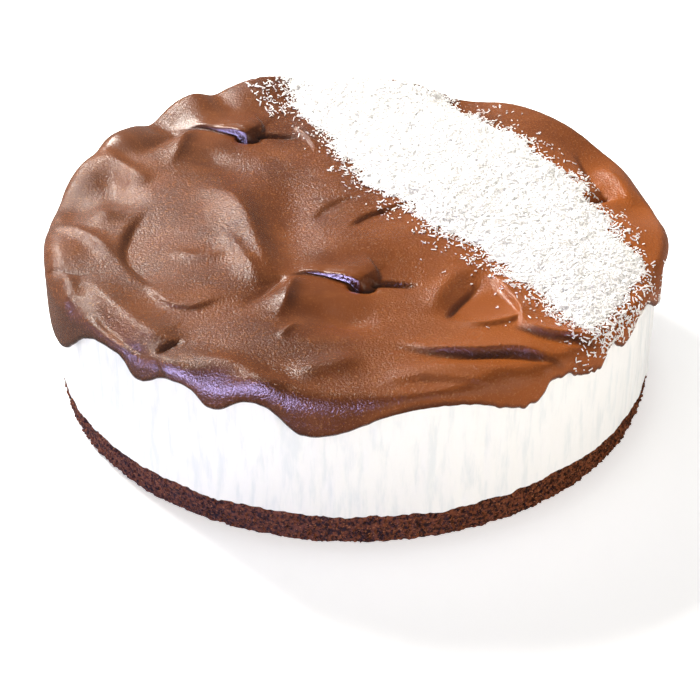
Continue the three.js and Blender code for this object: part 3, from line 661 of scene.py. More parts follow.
def relief_at(x, y):
    """Height of the relief and its sideways push: a slow ripple, the swells, then each stroke as
    rise * bell(distance) * a smooth taper that is 1 at the stroke's peak and 0 at its ends."""
    points = np.stack([x, y], axis=1)
    rise = SLOW_WAVE * ripple(x, y, 46, 0.9)
    shift = np.zeros_like(points)
    for middle_x, middle_y, half_x, half_y, height in SWELLS:
        rise = rise + height * np.exp(-((x - middle_x) / half_x) ** 2
                                      - ((y - middle_y) / half_y) ** 2)
    for one in STROKES:
        path = catmull_rom(one["path"])
        reach = STROKE_REACH * max(one["left"], one["right"])
        near = np.all((points > path.min(0) - reach) & (points < path.max(0) + reach), axis=1)
        distance, along, right = nearest_on_path(path, points[near])
        width = np.where(distance > 0, one["left"], one["right"])
        towards_peak = np.where(along < one["peak"], along / one["peak"],
                                (1 - along) / (1 - one["peak"]))
        share = bell(distance, width, one["sharp"]) * smoothstep(towards_peak, 0, FULL_AT)
        rise[near] += one["rise"] * share
        shift[near] += one["lean"] * share[:, None] * right
    return rise, shift


def painted_shade_at(x, y):
    """How much painted shade a point gets, 0 to 1: in a narrow crease, and below a ridge that hangs
    over. The share of a stroke is a bell round its path, or round the foot of the overhang."""
    points = np.stack([x, y], axis=1)
    depth = np.zeros(len(points))
    for one in STROKES:
        crease_shade = one["rise"] < 0 and min(one["left"], one["right"]) < NARROW
        if not crease_shade and one["lean"] < HANGS_OVER:
            continue
        path = catmull_rom(one["path"])
        near = np.all((points > path.min(0) - SHADOW_REACH)
                      & (points < path.max(0) + SHADOW_REACH), axis=1)
        distance, along, _ = nearest_on_path(path, points[near])
        ends = smoothstep(np.minimum(along, 1 - along), 0, SHADOW_ENDS)
        if crease_shade:
            width = np.where(distance > 0, one["left"], one["right"]) * 0.5 + 0.6
            share = bell(distance, width, 1.6) * min(1, -one["rise"] / DARKEST_DEPTH)
        else:
            foot = distance + 2 * one["right"]
            share = OVERHANG_SHADE * bell(foot, 0.8 * one["right"] + 0.4, 3)
        depth[near] = np.maximum(depth[near], share * ends)
    return depth


sample_rise = relief_at(*on_ring(np.linspace(0, 2 * np.pi, 361), 60.0).T[:2])[0]
print("halfway out the relief runs from", sample_rise.min().round(1), "to",
      sample_rise.max().round(1), "mm")

# %% [markdown]
# ## A round grid for the top
#
# A disc could be made of rings round one point, but its cells would be slivers in the middle and
# wide at the rim, where the drips are. Here a square grid is used whose square rings are turned
# into circles, so its cells are all about the same size.

# %% Round grid
CAP_RINGS = 118
CORNERS = 8 * CAP_RINGS


def round_grid(rings):
    """Ring number and angle of each corner of a square grid: a corner's ring is the larger of
    its two steps from the middle, and its angle runs evenly round that square ring."""
    step = np.arange(-rings, rings + 1)
    u, v = np.meshgrid(step, step, indexing="xy")
    ring = np.maximum(np.abs(u), np.abs(v))
    wide = np.abs(u) >= np.abs(v)
    across, tall = np.where(u == 0, 1, u), np.where(v == 0, 1, v)
    angle = np.where(wide, np.pi / 4 * v / across + np.where(u < 0, np.pi, 0),
                     np.pi / 2 - np.pi / 4 * u / tall + np.where(v < 0, np.pi, 0))
    return ring.ravel(), np.mod(angle, 2 * np.pi).ravel()


print("cells of the top are", round(CAP_RADIUS / CAP_RINGS, 2), "mm wide")

# %% [markdown]
# ## The section of the rim
#
# The outermost ring of the grid carries on as a wall: round the bend, down the drip, round the
# lip, up inside to the top of the cream and across underneath. Any point of it has a place on
# the unrolled top, so a stroke can run over the edge.

# %% Rim section
INNER_RADIUS = RING_RADIUS + GAP
FILLING_DISH = 2.0        # how much lower the middle of the filling is than its edge
DISH_EDGE = (98.0, 116.0)
UNDER_RADII = (118.0, 115.0, 112.0, 109.0, 106.0, 102.0, 98.0, 95.0, 92.0)
RIM_ROWS = {"flat": 6, "bend": 13, "side": 9, "lip": 8}


def cream_level(theta, radius):
    """Top of the filling: level at its edge less the slump, and dished inside."""
    dish = FILLING_DISH * (1 - smoothstep(radius, *DISH_EDGE))
    return FILLING_TOP - dish - shoulder_drop(theta, radius)


def shares_of(part):
    """Shares of the way along one part of the section, its start left out."""
    return np.arange(1, RIM_ROWS[part] + 1) / RIM_ROWS[part]


def rim_profile(theta):
    """Section of the rim at each angle, rows down and angles across: radius, height, outward and
    upward parts of the skin's direction, place along the unrolled top, share of the relief."""
    edge, radius, bend, lip, top = rim_at(theta)
    bend_start = radius - bend
    lip_top = edge + lip
    arc = bend * np.pi / 2
    straight = top - bend - lip_top
    middle = (radius + INNER_RADIUS) / 2
    half = (radius - INNER_RADIUS) / 2
    one, none = np.ones_like(theta), np.zeros_like(theta)
    made = []
    for share in shares_of("flat"):
        place = CAP_RADIUS + share * (bend_start - CAP_RADIUS)
        made.append([place, TOP_HEIGHT - shoulder_drop(theta, place), none, one, place, one])
    for share in shares_of("bend"):
        turn = share * np.pi / 2
        made.append([bend_start + bend * np.sin(turn), top - bend * (1 - np.cos(turn)),
                     np.sin(turn) * one, np.cos(turn) * one, bend_start + share * arc, one])
    for share in shares_of("side"):
        made.append([radius, top - bend - share * straight, one, none,
                     bend_start + arc + share * straight, one])
    for share in shares_of("lip"):
        turn = share * np.pi
        made.append([middle + half * np.cos(turn), lip_top - lip * np.sin(turn),
                     np.cos(turn) * one, none, bend_start + arc + straight + lip * share,
                     (1 - smoothstep(share, 0, 0.5)) * one])
    for reach in (INNER_RADIUS, *UNDER_RADII):
        made.append([reach * one, cream_level(theta, reach) + GAP, none, none, none, none])
    return np.array(made)


print("the section has", len(rim_profile(np.zeros(1))), "rows")

# %% [markdown]
# ## The chocolate, as one closed skin
#
# The grid and the wall are joined into one body. Each point is moved by the relief along the way
# the skin faces there. A last rule keeps the chocolate above the cream: where a stroke would cut
# through, the skin levels out softly just over it.

# %% Chocolate skin
SIDE_INNERMOST = INNER_RADIUS + 0.8
SIDE_CALM = 0.6           # how much of the relief is lost where the skin hangs upright
SOFT_LIMIT = 0.4          # how softly a deep stroke levels out over the cream


def skin_points(theta, radius, height, outward, upward, along, share):
    """Moves each point by the relief, out or up along the skin, and keeps it above the cream."""
    rise, shift = relief_at(along * np.cos(theta), along * np.sin(theta))
    rise = rise * share * (1 - SIDE_CALM * outward)
    reach = radius + rise * outward
    beside_cream = (radius >= RING_RADIUS) & (share > 0)
    reach = np.where(beside_cream, np.maximum(reach, np.minimum(radius, SIDE_INNERMOST)), reach)
    level = height + rise * upward
    lowest = cream_level(theta, radius) + GAP + THINNEST
    over_cream = (radius < RING_RADIUS) & (share > 0)
    spare = SOFT_LIMIT * np.logaddexp(0, (level - lowest) / SOFT_LIMIT)
    level = np.where(over_cream, lowest + spare, level)
    return np.stack([reach * np.cos(theta) + shift[:, 0] * share * upward,
                     reach * np.sin(theta) + shift[:, 1] * share * upward, level], axis=1)


def chocolate_skin():
    """Corners and faces of the whole top: the round grid, the rim rows and the flat underside.
    The place of each corner on the unrolled top comes with them."""
    ring, angle = round_grid(CAP_RINGS)
    reach = ring / CAP_RINGS * CAP_RADIUS
    one, none = np.ones(len(ring)), np.zeros(len(ring))
    level = TOP_HEIGHT - shoulder_drop(angle, reach)
    cap = skin_points(angle, reach, level, none, one, reach, one)

    theta = np.arange(CORNERS) * 2 * np.pi / CORNERS
    profile = rim_profile(theta)
    rows = profile.shape[0]
    wall = skin_points(np.tile(theta, rows), *profile.reshape(rows, 6, CORNERS)
                       .transpose(1, 0, 2).reshape(6, -1))
    centre = np.array([[0, 0, FILLING_TOP - FILLING_DISH + GAP]])
    corners = np.vstack([cap, wall, centre])
    along = np.concatenate([reach, profile[:, 4].ravel(), [0]])
    turns = np.concatenate([angle, np.tile(theta, rows), [0]])
    unrolled = np.stack([along * np.cos(turns), along * np.sin(turns)], axis=1)

    side = 2 * CAP_RINGS + 1
    index = np.arange(side * side).reshape(side, side)
    sheet = np.stack([index[:-1, :-1], index[:-1, 1:], index[1:, 1:], index[1:, :-1]], -1)
    outer = np.flatnonzero(ring == CAP_RINGS)
    step = np.round(angle[outer] / (2 * np.pi) * CORNERS).astype(int) % CORNERS
    rim = np.empty(CORNERS, int)
    rim[step] = outer
    rings = [rim] + [len(cap) + row * CORNERS + np.arange(CORNERS) for row in range(rows)]
    walls = [ring_faces(first, second) for first, second in zip(rings, rings[1:])]
    floor_fan = fan_faces(rings[-1], len(corners) - 1, upward=False)
    return corners, [sheet.reshape(-1, 4), *walls, floor_fan], unrolled


corners, faces, unrolled = chocolate_skin()
print("chocolate from", corners.min(0).round(1), "to", corners.max(0).round(1), "mm")

# %% [markdown]
# ## Chocolate, grainy with a soft gloss
#
# Spread chocolate has a fine grain, but is smooth where the spatula pulled it up. Its colour is
# cloudy, with light painted into it: a warmer tint on the right is painted warm light, a greyer
# tint on the left is a painted sheen, and creases, overhangs and the lower edge get painted
# shade. A picture laid over it would carry its own light, so the colours are mixed from noise
# instead. A crease is painted dark and a little smoother, so it catches a thin line of light at
# its edge.

# %% Chocolate finish
# smooth places: x, y, radius
SMOOTH = [(-10, -42, 24), (-55, 72, 26), (48, -62, 14), (-12, -66, 18), (-100, 60, 14)]
GRAIN_LOST = 0.65         # how much of the grain a smooth place loses
# metres across or back between which the painted warm light and the painted sheen set in
WARM_LIGHT_SIDE, SHEEN_SIDE, REAR = (-0.03, 0.09), (-0.1, -0.02), (0.02, 0.09)
print("the chocolate is smooth in", len(SMOOTH), "places")


def grain_at(x, y):
    """1 where the chocolate is grainy, less near each smooth place."""
    grain = np.ones_like(x)
    for middle_x, middle_y, radius in SMOOTH:
        near = bell(np.hypot(x - middle_x, y - middle_y), radius, 3)
        grain = grain * (1 - GRAIN_LOST * near)
    return grain


def chocolate_finish():
    """Browns mixed by noise, with painted warm light, sheen and shade, over two sizes of grain."""
    finish = Finish("milk chocolate")
    grainy = finish.node("ShaderNodeAttribute", {"attribute_name": "grain"}, {}, "Fac")
    crease_shade = finish.node("ShaderNodeAttribute", {"attribute_name": "crease_shade"}, {}, "Fac")
    across = finish.node("ShaderNodeSeparateXYZ", {}, {"Vector": finish.place}, "X")
    back = finish.node("ShaderNodeSeparateXYZ", {}, {"Vector": finish.place}, "Y")
    cloud = finish.noise(38, 3, 0.55)
    smear = finish.noise(1.0, 3, 0.6, finish.stretched(16, 11, 12))
    grain = finish.noise(0.8, 2, 0.55)
    fine = finish.noise(0.38, 1, 0.6)
    deep = from_screen(76, 36, 11)
    mid = from_screen(100, 52, 21)
    pale = from_screen(130, 77, 40)
    # painted warm light: the right side tinted warmer, fading towards the rear
    warm = from_screen(166, 88, 30)
    # painted sheen: a greyer tint laid over the left side
    painted_sheen = from_screen(112, 80, 62)
    speck = from_screen(156, 98, 56)
    # painted shade for creases, under overhangs and along the turned-under lower edge
    shadow = from_screen(34, 14, 8)
    colour = finish.mix(cloud.ramp(0.35, 0.68), deep, mid)
    colour = finish.mix(smear.ramp(0.45, 0.75) * 0.25, colour, pale)
    warm_light_share = across.ramp(*WARM_LIGHT_SIDE) * (0.65 - back.ramp(*REAR) * 0.5)
    colour = finish.mix(warm_light_share, colour, warm)
    colour = finish.mix(0.25 - across.ramp(*SHEEN_SIDE) * 0.25, colour, painted_sheen)
    colour = finish.mix(grain.ramp(0.56, 0.7) * grainy * 0.6, colour, speck)
    # painted shade, mixed in by the stored mask
    colour = finish.mix(crease_shade * 0.9, colour, shadow)
    lumps = finish.bump(grain * grainy, 0.65, 0.6)
    normal = finish.bump(fine * grainy, 0.6, 0.2, lumps)
    return finish.shade(Base_Color=colour, Roughness=0.21 + cloud * 0.1 - crease_shade * 0.14,
                        Normal=normal, Specular_IOR_Level=0.28)


# %% [markdown]
# ## The chocolate piece
#
# The grain and the painted shade of a crease follow the strokes, which no noise can know. They
# are worked out per corner, the shade together with the painted shade along the lower edge, and
# stored in the mesh, where the finish reads them through an Attribute node. The piece then takes
# the place of the plain solid of the topping.

# %% Chocolate piece
LIP_SHADE = 0.75
LIP_FADE = (0.6, 3.0)     # distances above the lower edge between which the shade fades


def painted_lip_shade(corners):
    """Painted shade near the lower edge, where the chocolate is thick and turns under."""
    theta = np.arctan2(corners[:, 1], corners[:, 0])
    edge = rim_at(theta)[0]
    outside = np.hypot(corners[:, 0], corners[:, 1]) > RING_RADIUS
    return LIP_SHADE * outside * (1 - smoothstep(corners[:, 2] - edge, *LIP_FADE))


def store(piece, name, values):
    """Keeps one number per corner in the mesh."""
    attribute = piece.data.attributes.new(name, "FLOAT", "POINT")
    attribute.data.foreach_set("value", values.astype(np.float32))


chocolate = make_piece("chocolate_spread", corners, faces, chocolate_finish())
store(chocolate, "grain", grain_at(*unrolled.T))
# one mask of painted shade for the colour: creases, overhangs and the lower edge
store(chocolate, "crease_shade", np.maximum(painted_shade_at(*unrolled.T), painted_lip_shade(corners)))
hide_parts("chocolate_topping")

# %% [markdown]
# ## The side of the filling
#
# The filling was pressed against the ring and pulled free of it, which left faint upright smears.
# A plain cylinder with a bumpy finish would have a perfectly straight outline, so the smears are
# real shape: the radius is a function of the angle and the height, with noise stretched upright.
# The lower edge meets the crumb in a ragged line that both layers share.

# %% Cream side
SEAM_WAVE = 0.7
SEAM_CIRCLE = 60.0        # the seam's wave is read off a ring of this radius
SIDE_INSET = 0.8          # keeps the grains and smears inside the layer's true radius
TOP_INSET = 0.7
BROAD_SMEAR, NARROW_SMEAR, PITS = 0.45, 0.28, 0.07


def seam_height(theta):
    """Level between crumb and cream: slow sines round the cake, and two sizes of ragged step."""
    x, y = SEAM_CIRCLE * np.cos(theta), SEAM_CIRCLE * np.sin(theta)
    level = CRUMB_TOP + SEAM_WAVE * ripple(x, y, 17, 0.4)
    return level + 0.5 * ragged(theta, 3.2, 7) + 0.4 * ragged(theta, 1.3, 8)


def side_noise(theta, height, radius, cell, seed):
    """Random relief at places on the side of a cylinder."""
    place = np.stack([radius * np.cos(theta), radius * np.sin(theta), height + 0 * theta], -1)
    return lattice_noise(place, cell, seed)


def round_body(columns, shares, place):
    """Closed round body: place(theta, share) gives radius and height, share 1 at the top."""
    theta = np.arange(columns) * 2 * np.pi / columns
    rings = []
    for share in shares:
        radius, height = place(theta, share)
        rings.append(np.stack([radius * np.cos(theta), radius * np.sin(theta), height], -1))
    middles = [[0, 0, rings[0][:, 2].max()], [0, 0, rings[-1][:, 2].min()]]
    index = np.arange(columns * len(shares)).reshape(len(shares), columns)
    walls = [ring_faces(first, second) for first, second in zip(index, index[1:])]
    ends = [fan_faces(index[0], index.size, True), fan_faces(index[-1], index.size + 1, False)]
    return np.vstack([*rings, middles]), [*walls, *ends]


def cream_side(theta, share):
    """Ring radius less upright smears: noise stretched tall, broad, then narrow, then small pits.
    A share above 1 lies on the top of the filling, at 2 where it is flat."""
    if share > 1:
        edge = RING_RADIUS - TOP_INSET
        radius = edge - (share - 1) * (edge - SHOULDER[0])
        return radius, cream_level(theta, radius)
    foot = seam_height(theta) + GAP
    height = foot + (FILLING_TOP - slump_at(theta) - foot) * share
    broad = side_noise(theta, height * 0.3, RING_RADIUS, 9, 11)
    narrow = side_noise(theta, height * 0.2, RING_RADIUS, 2.6, 12)
    pits = side_noise(theta, height * 0.8, RING_RADIUS, 1.5, 13)
    smears = BROAD_SMEAR * broad + NARROW_SMEAR * narrow + PITS * pits
    return RING_RADIUS - SIDE_INSET + smears, height


cream_rows = [*np.linspace(2, 1, 10)[:-1], *np.linspace(1, 0, 64)]
cream_corners, cream_faces = round_body(960, cream_rows, cream_side)
print("cream from", cream_corners.min(0).round(1), "to", cream_corners.max(0).round(1), "mm")

# %% [markdown]
# ## Cream, satin white
#
# Set cream is white. Light scatters inside it, which could be worked out in full, but it is slow
# and hardly shows on a body as thick as this. A bright colour and a low, soft gloss give the same
# look. The smears carry a slight relief, and along them a darker, cooler white is painted shade.

# %% Cream finish
def cream_finish():
    """Two whites, the darker one painted shade, mixed by upright noise, over a fine grain."""
    finish = Finish("cream filling")
    smear = finish.noise(1.0, 3, 0.6, finish.stretched(3.2, 3.2, 19))
    grain = finish.noise(0.8, 2, 0.5)
    # the darker, cooler white is painted shade along the smears
    smear_shade_white, white = (0.76, 0.80, 0.82), (0.86, 0.875, 0.88)
    colour = finish.mix(smear.ramp(0.3, 0.56), smear_shade_white, white)
    normal = finish.bump(smear, 0.5, 0.8, finish.bump(grain, 0.2, 0.1))
    return finish.shade(Base_Color=colour, Roughness=0.5, Specular_IOR_Level=0.3, Normal=normal)


cream = make_piece("cream_side", cream_corners, cream_faces, cream_finish())
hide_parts("cream_filling")

# %% [markdown]
# ## The side of the crumb base
#
# Crushed dark biscuit, pressed into the ring. Thousands of separate crumbs would be heavy, and
# most of them are hidden. So the side itself is granular: two sizes of noise raise grains from
# it. Only the outermost crumbs are made one by one, in the cell after the finish.

# %% Crumb side
CRUMB_FOOT = 1.2          # how far the side draws in at the foot
COARSE_GRAIN, FINE_GRAIN = 0.5, 0.45


def crumb_side(theta, share):
    """A little inside the cream, drawn in at the foot, with two sizes of grain."""
    height = seam_height(theta) * share
    coarse = side_noise(theta, height, CRUMB_RADIUS, 2.0, 21)
    fine = side_noise(theta, height, CRUMB_RADIUS, 0.95, 22)
    foot = CRUMB_FOOT * (1 - share) ** 3
    return CRUMB_RADIUS - SIDE_INSET - foot + COARSE_GRAIN * coarse + FINE_GRAIN * fine, height


crumb_corners, crumb_faces = round_body(1200, np.linspace(1, 0, 28), crumb_side)
print("crumb from", crumb_corners.min(0).round(1), "to", crumb_corners.max(0).round(1), "mm")

# %% [markdown]
# ## Crumb, matt and flecked
#
# Biscuit crumb is brown on its grains, with a few pale flecks of broken biscuit. Between them a
# near black is mixed in: partly the biscuit's own dark, partly painted shade of the pores. One
# brown with a bump over it would look like felt, so the three colours are mixed. It has almost no
# gloss.

# %% Crumb finish
def crumb_finish():
    """Painted pore shade and brown mixed by noise, with flecks where a finer noise is highest."""
    finish = Finish("dark biscuit crumb")
    grain = finish.noise(1.5, 2, 0.6)
    fleck = finish.noise(0.8, 1, 0.5)
    # near black: the biscuit's own dark with painted shade of the pores
    pore_shade, brown = from_screen(38, 18, 9), from_screen(114, 63, 38)
    broken = from_screen(164, 106, 70)
    colour = finish.mix(grain.ramp(0.35, 0.65), pore_shade, brown)
    colour = finish.mix(fleck.ramp(0.62, 0.72) * 0.7, colour, broken)
    return finish.shade(Base_Color=colour, Roughness=0.85, Specular_IOR_Level=0.1,
                        Normal=finish.bump(fleck, 0.5, 0.3))


crumb = make_piece("crumb_side", crumb_corners, crumb_faces, crumb_finish())
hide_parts("crumb_base")

# %% [markdown]
# ## Loose grains of the base
#
# Some crumbs stand out of the side. A round ball would look too regular and need many faces, so
# each crumb is a solid of twenty triangles with its corners pushed in and out. All of them are
# corners of one mesh, placed at once.

# %% Loose grains
GRAINS = 5200
LEAST_GRAIN, MORE_GRAIN = 0.32, 0.6    # radius of the least, and how much more the largest has


def twenty_sides():
    """Corners and faces of a regular solid of twenty triangles, of radius 1."""
    golden = (1 + 5 ** 0.5) / 2
    first = np.array([[0, a, b * golden] for a in (-1, 1) for b in (-1, 1)], float)
    corners = np.vstack([first, first[:, [2, 0, 1]], first[:, [1, 2, 0]]])
    length = np.linalg.norm(corners[:, None] - corners, axis=-1)
    triangles = []
    for a, b, c in itertools.combinations(range(12), 3):
        # neighbours are 2 apart, all others more than 3
        if max(length[a, b], length[b, c], length[a, c]) < 2.1:
            out = np.cross(corners[b] - corners[a], corners[c] - corners[a]) @ corners[a]
            triangles.append((a, b, c) if out > 0 else (a, c, b))
    return corners / np.linalg.norm(corners[0]), np.array(triangles)


def loose_grains():
    """Lumps half sunk in the side, of random size, stretch and turn."""
    random = np.random.default_rng(31)
    theta = random.uniform(0, 2 * np.pi, GRAINS)
    share = random.uniform(0.03, 1.01, GRAINS)
    radius, height = crumb_side(theta, share)
    size = LEAST_GRAIN + MORE_GRAIN * random.random(GRAINS) ** 2.5
    height = np.clip(height, 1.3 * size, None)
    ball, triangles = twenty_sides()
    lumps = ball * (1 + 0.25 * random.uniform(-1, 1, (GRAINS, 12, 1)))
    lumps = lumps * size[:, None, None] * random.uniform(0.7, 1.1, (GRAINS, 1, 3))
    middle = np.stack([radius * np.cos(theta), radius * np.sin(theta), height], -1)
    faces = triangles + 12 * np.arange(GRAINS)[:, None, None]
    return (lumps + middle[:, None]).reshape(-1, 3), [faces.reshape(-1, 3)]


grain_corners, grain_faces = loose_grains()
grains = make_piece("loose_grains", grain_corners, grain_faces, crumb_finish(), False)
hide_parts("crumb_base")

# %% [markdown]
# ## Where the coconut lies
#
# Grated coconut was strewn in a slanting band from the rear to the front right. Along the band
# and across it are easier to think in than left and right, so places are turned into those. A
# drawn outline would give the band a hard edge. A depth inside it, which noise makes uneven, can
# thin the coconut out slowly instead.

# %% Coconut band
BAND_TURN = np.radians(-63.2)
BAND_START, BAND_END = -126.0, 132.0   # along the band
BAND_NEAR, BAND_FAR = 6.0, 104.0       # across it
BAND_CELL = 0.85


def band_place(along, across):
    """Turns distances along and across the band into x and y."""
    return (along * np.cos(BAND_TURN) - across * np.sin(BAND_TURN),
            along * np.sin(BAND_TURN) + across * np.cos(BAND_TURN))


def band_cover(along, across):
    """Depth inside the band: the least distance to its near edge, its far edge and the rim, with
    noise that makes the edges ragged. Below zero is outside."""
    # the near edge turns outwards at both ends, and the far edge bulges in the middle
    near = 17.5 + 0.1 * np.maximum(0, -45 - along) + 0.178 * np.maximum(0, along + 26)
    far = 83 + 7 * bell(along - 8, 52, 2)
    x, y = band_place(along, across)
    turn = np.degrees(np.arctan2(y, x))
    rim = np.where(turn < 0, 116.0, 118.5)
    place = np.stack([along, across, 0 * along], -1)
    noise = 3.6 * lattice_noise(place, 11, 41) + 2.2 * lattice_noise(place, 3.6, 42)
    edges = np.minimum(across - near, far - across) + noise
    return np.minimum(edges, rim - np.hypot(x, y) + 0.4 * noise)


print("depth inside the band at its middle:",
      band_cover(np.zeros(1), np.full(1, 50.0)).round(1)[0], "mm")

# %% [markdown]
# ## Laying things on the chocolate
#
# The coconut follows the chocolate, over the bend and down the side. A ray cast would find the
# surface below a point, but not round the bend. The same functions that made the skin can be
# asked where any place of the unrolled top has ended up, and which way the skin faces there.

# %% Places on the skin
def on_skin(x, y):
    """Where a place of the unrolled top lies on the chocolate, and the way the skin faces: flat up
    to the bend, round the bend by its arc, then straight down as far as the lip."""
    along, theta = np.hypot(x, y), np.arctan2(y, x)
    edge, radius, bend, lip, top = rim_at(theta)
    past = along - (radius - bend)
    turn = np.clip(past / bend, 0, np.pi / 2)
    outward, upward = np.sin(turn), np.cos(turn)
    reach = np.where(past > 0, radius - bend + bend * outward, along)
    straight = top - bend - edge - lip
    down = np.clip(past - bend * np.pi / 2, 0, straight)
    top = np.where(past > 0, top, TOP_HEIGHT - shoulder_drop(theta, along))
    height = top - bend * (1 - upward) - down
    points = skin_points(theta, reach, height, outward, upward, along, np.ones_like(along))
    return points, np.stack([outward * np.cos(theta), outward * np.sin(theta), upward], -1)


middle_place = on_skin(*[np.full(1, part) for part in band_place(0.0, 50.0)])[0][0]
print("the middle of the band lies at", middle_place.round(1), "mm")

# %% [markdown]
# ## The heap of coconut
#
# Under the loose shreds lies a heap that is solid enough to be one surface: the skin of the
# chocolate raised by the thickness of the coconut, with clumps and fine lumps. At the ragged edge
# it dips under the chocolate, so it ends without a step.

# %% Coconut heap
HEAP_THICKNESS = 2.1
HEAP_EDGE = 0.3           # thickness reached just inside the band
HEAP_SUNK = 0.9           # how far its edge dips under the chocolate
HEAP_FOOT = HEAP_SUNK + 0.3


def heap_thickness(along, across):
    """Thickness from the depth inside the band, plus three sizes of lump."""
    cover = band_cover(along, across)
    place = np.stack([along, across, 0 * along], -1)
    thick = -HEAP_SUNK + (HEAP_SUNK + HEAP_EDGE) * smoothstep(cover, -1.0, 2.5)
    thick = thick + (HEAP_THICKNESS - HEAP_EDGE) * smoothstep(cover, 0, 14)
    lumps = (0.6 * lattice_noise(place, 13, 43) + 0.4 * lattice_noise(place, 4, 44)
             + 0.3 * lattice_noise(place, 1.7, 45))
    return thick + lumps * smoothstep(cover, -1, 6)


def heap_grid():
    """Rows along the band and columns across it: places on the skin, facing, and thickness."""
    along = np.arange(BAND_START, BAND_END, BAND_CELL)
    across = np.arange(BAND_NEAR, BAND_FAR, BAND_CELL)
    s, t = np.meshgrid(along, across, indexing="ij")
    skin, facing = on_skin(*[part.ravel() for part in band_place(s, t)])
    thick = heap_thickness(s.ravel(), t.ravel())
    return s.shape, skin, facing, thick


def sheet_body(shape, top, bottom):
    """Closes two grids of the same shape into one body."""
    rows, columns = shape
    upper = np.arange(rows * columns).reshape(shape)
    lower = upper + rows * columns
    top_faces = np.stack([upper[:-1, :-1], upper[:-1, 1:], upper[1:, 1:], upper[1:, :-1]], -1)
    bottom_faces = (top_faces + rows * columns)[..., ::-1]
    border = [(0, slice(None)), (slice(None), -1), (-1, slice(None, None, -1)),
              (slice(None, None, -1), 0)]
    sides = []
    for edge in border:
        high, low = upper[edge], lower[edge]
        sides.append(np.stack([high[:-1], low[:-1], low[1:], high[1:]], -1))
    return np.vstack([top, bottom]), [top_faces.reshape(-1, 4), bottom_faces.reshape(-1, 4), *sides]


heap_shape, heap_skin, heap_facing, heap_thick = heap_grid()
heap_top = heap_skin + heap_facing * heap_thick[:, None]
heap_bottom = heap_skin - heap_facing * HEAP_FOOT
heap_corners, heap_faces = sheet_body(heap_shape, heap_top, heap_bottom)
print("heap is up to", heap_thick.max().round(1), "mm thick")

# %% [markdown]
# ## Coconut, off white
#
# Dry coconut is white with warmer patches where shreds overlap. It is matt, and a little relief
# breaks up the light between the loose shreds.

# %% Coconut finish
def coconut_finish():
    """A warm white and a bright one mixed by noise, over a fine relief."""
    finish = Finish("grated coconut")
    tone = finish.noise(2.4, 2, 0.6)
    warm_white, white = (0.88, 0.865, 0.83), (0.975, 0.97, 0.96)
    colour = finish.mix(tone.ramp(0.3, 0.7), warm_white, white)
    return finish.shade(Base_Color=colour, Roughness=0.7,
                        Normal=finish.bump(finish.noise(0.7, 2, 0.6), 0.4, 0.3))


heap = make_piece("coconut_heap", heap_corners, heap_faces, coconut_finish())
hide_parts("coconut_drift")

# %% [markdown]
# ## Where the shreds fall
#
# Coconut that is strewn by hand lies thick in the band and thins out beside it. Particles could
# scatter it, but they are no real mesh. So places are drawn at random over the grid of the heap,
# and each is kept with a chance that falls off outside the band, faster in some patches.

# %% Strewn places
FRONT_SPILL = (-37.0, 8.0)            # angle of the spill over the rim, and half its width
REAR_SPILL = (-38.0, 96.0, 15.0)      # place of the thin spill at the rear, and its radius
TRIES = 9                             # places drawn for each one wanted


def unit(vectors):
    """Each direction divided by its length."""
    return vectors / np.linalg.norm(vectors, axis=-1, keepdims=True)


def heap_rest():
    """The surface that shreds lie on, and its upright direction from the slopes of the grid."""
    rest = (heap_skin + heap_facing * np.maximum(heap_thick, 0)[:, None]).reshape(*heap_shape, 3)
    slope_along, slope_across = np.gradient(rest, axis=0), np.gradient(rest, axis=1)
    upright = np.cross(slope_along, slope_across)
    upright *= np.sign((upright * heap_facing.reshape(upright.shape)).sum(-1, keepdims=True))
    return rest, unit(upright)


def sample_grid(grid, row, column):
    """Blends the four grid points round each place."""
    i, j = row.astype(int), column.astype(int)
    a, b = (row - i)[:, None], (column - j)[:, None]
    return ((grid[i, j] * (1 - b) + grid[i, j + 1] * b) * (1 - a)
            + (grid[i + 1, j] * (1 - b) + grid[i + 1, j + 1] * b) * a)


def spill(along, across):
    """Chance that a shred lies outside the band: on the rim at its front end, where it runs over,
    and thinly beside its rear end."""
    x, y = band_place(along, across)
    reach = np.hypot(x, y)
    turn = np.degrees(np.arctan2(y, x))
    over_rim = (1 - smoothstep(reach, 120, 130)) * (reach > 112)
    front = 0.5 * bell(turn - FRONT_SPILL[0], FRONT_SPILL[1], 3) * over_rim
    from_rear = np.hypot(x - REAR_SPILL[0], y - REAR_SPILL[1])
    rear = 0.16 * bell(from_rear, REAR_SPILL[2], 3) * (reach < 120)
    return np.maximum(front, rear)


def strewn(count, seed, fall_off, stray):
    """Random places in the band: sure inside it, and outside with a chance that falls off."""
    random = np.random.default_rng(seed)
    rows, columns = heap_shape
    row = random.uniform(0, rows - 1.001, TRIES * count)
    column = random.uniform(0, columns - 1.001, TRIES * count)
    along, across = BAND_START + row * BAND_CELL, BAND_NEAR + column * BAND_CELL
    cover = band_cover(along, across)
    patches = lattice_noise(np.stack([along, across, 0 * along], -1), 5, 46)
    chance = np.where(cover > 0, 1, stray * np.exp(cover / (fall_off * (1 + 0.7 * patches))))
    chance = np.maximum(chance, spill(along, across))
    kept = np.flatnonzero(random.random(len(row)) < chance)[:count]
    return random, row[kept], column[kept]


print("of 1000 places wanted,", len(strewn(1000, 1, 3.0, 0.5)[1]), "were kept")

# %% [markdown]
# ## Shreds and crumbs of coconut
#
# Each shred is a thin strip of a few flat faces. It lies on the heap or on the bare chocolate,
# turned and tipped at random. Long shreds bow in the middle. Three sizes are enough to make the
# heap look strewn, and each size is one mesh.

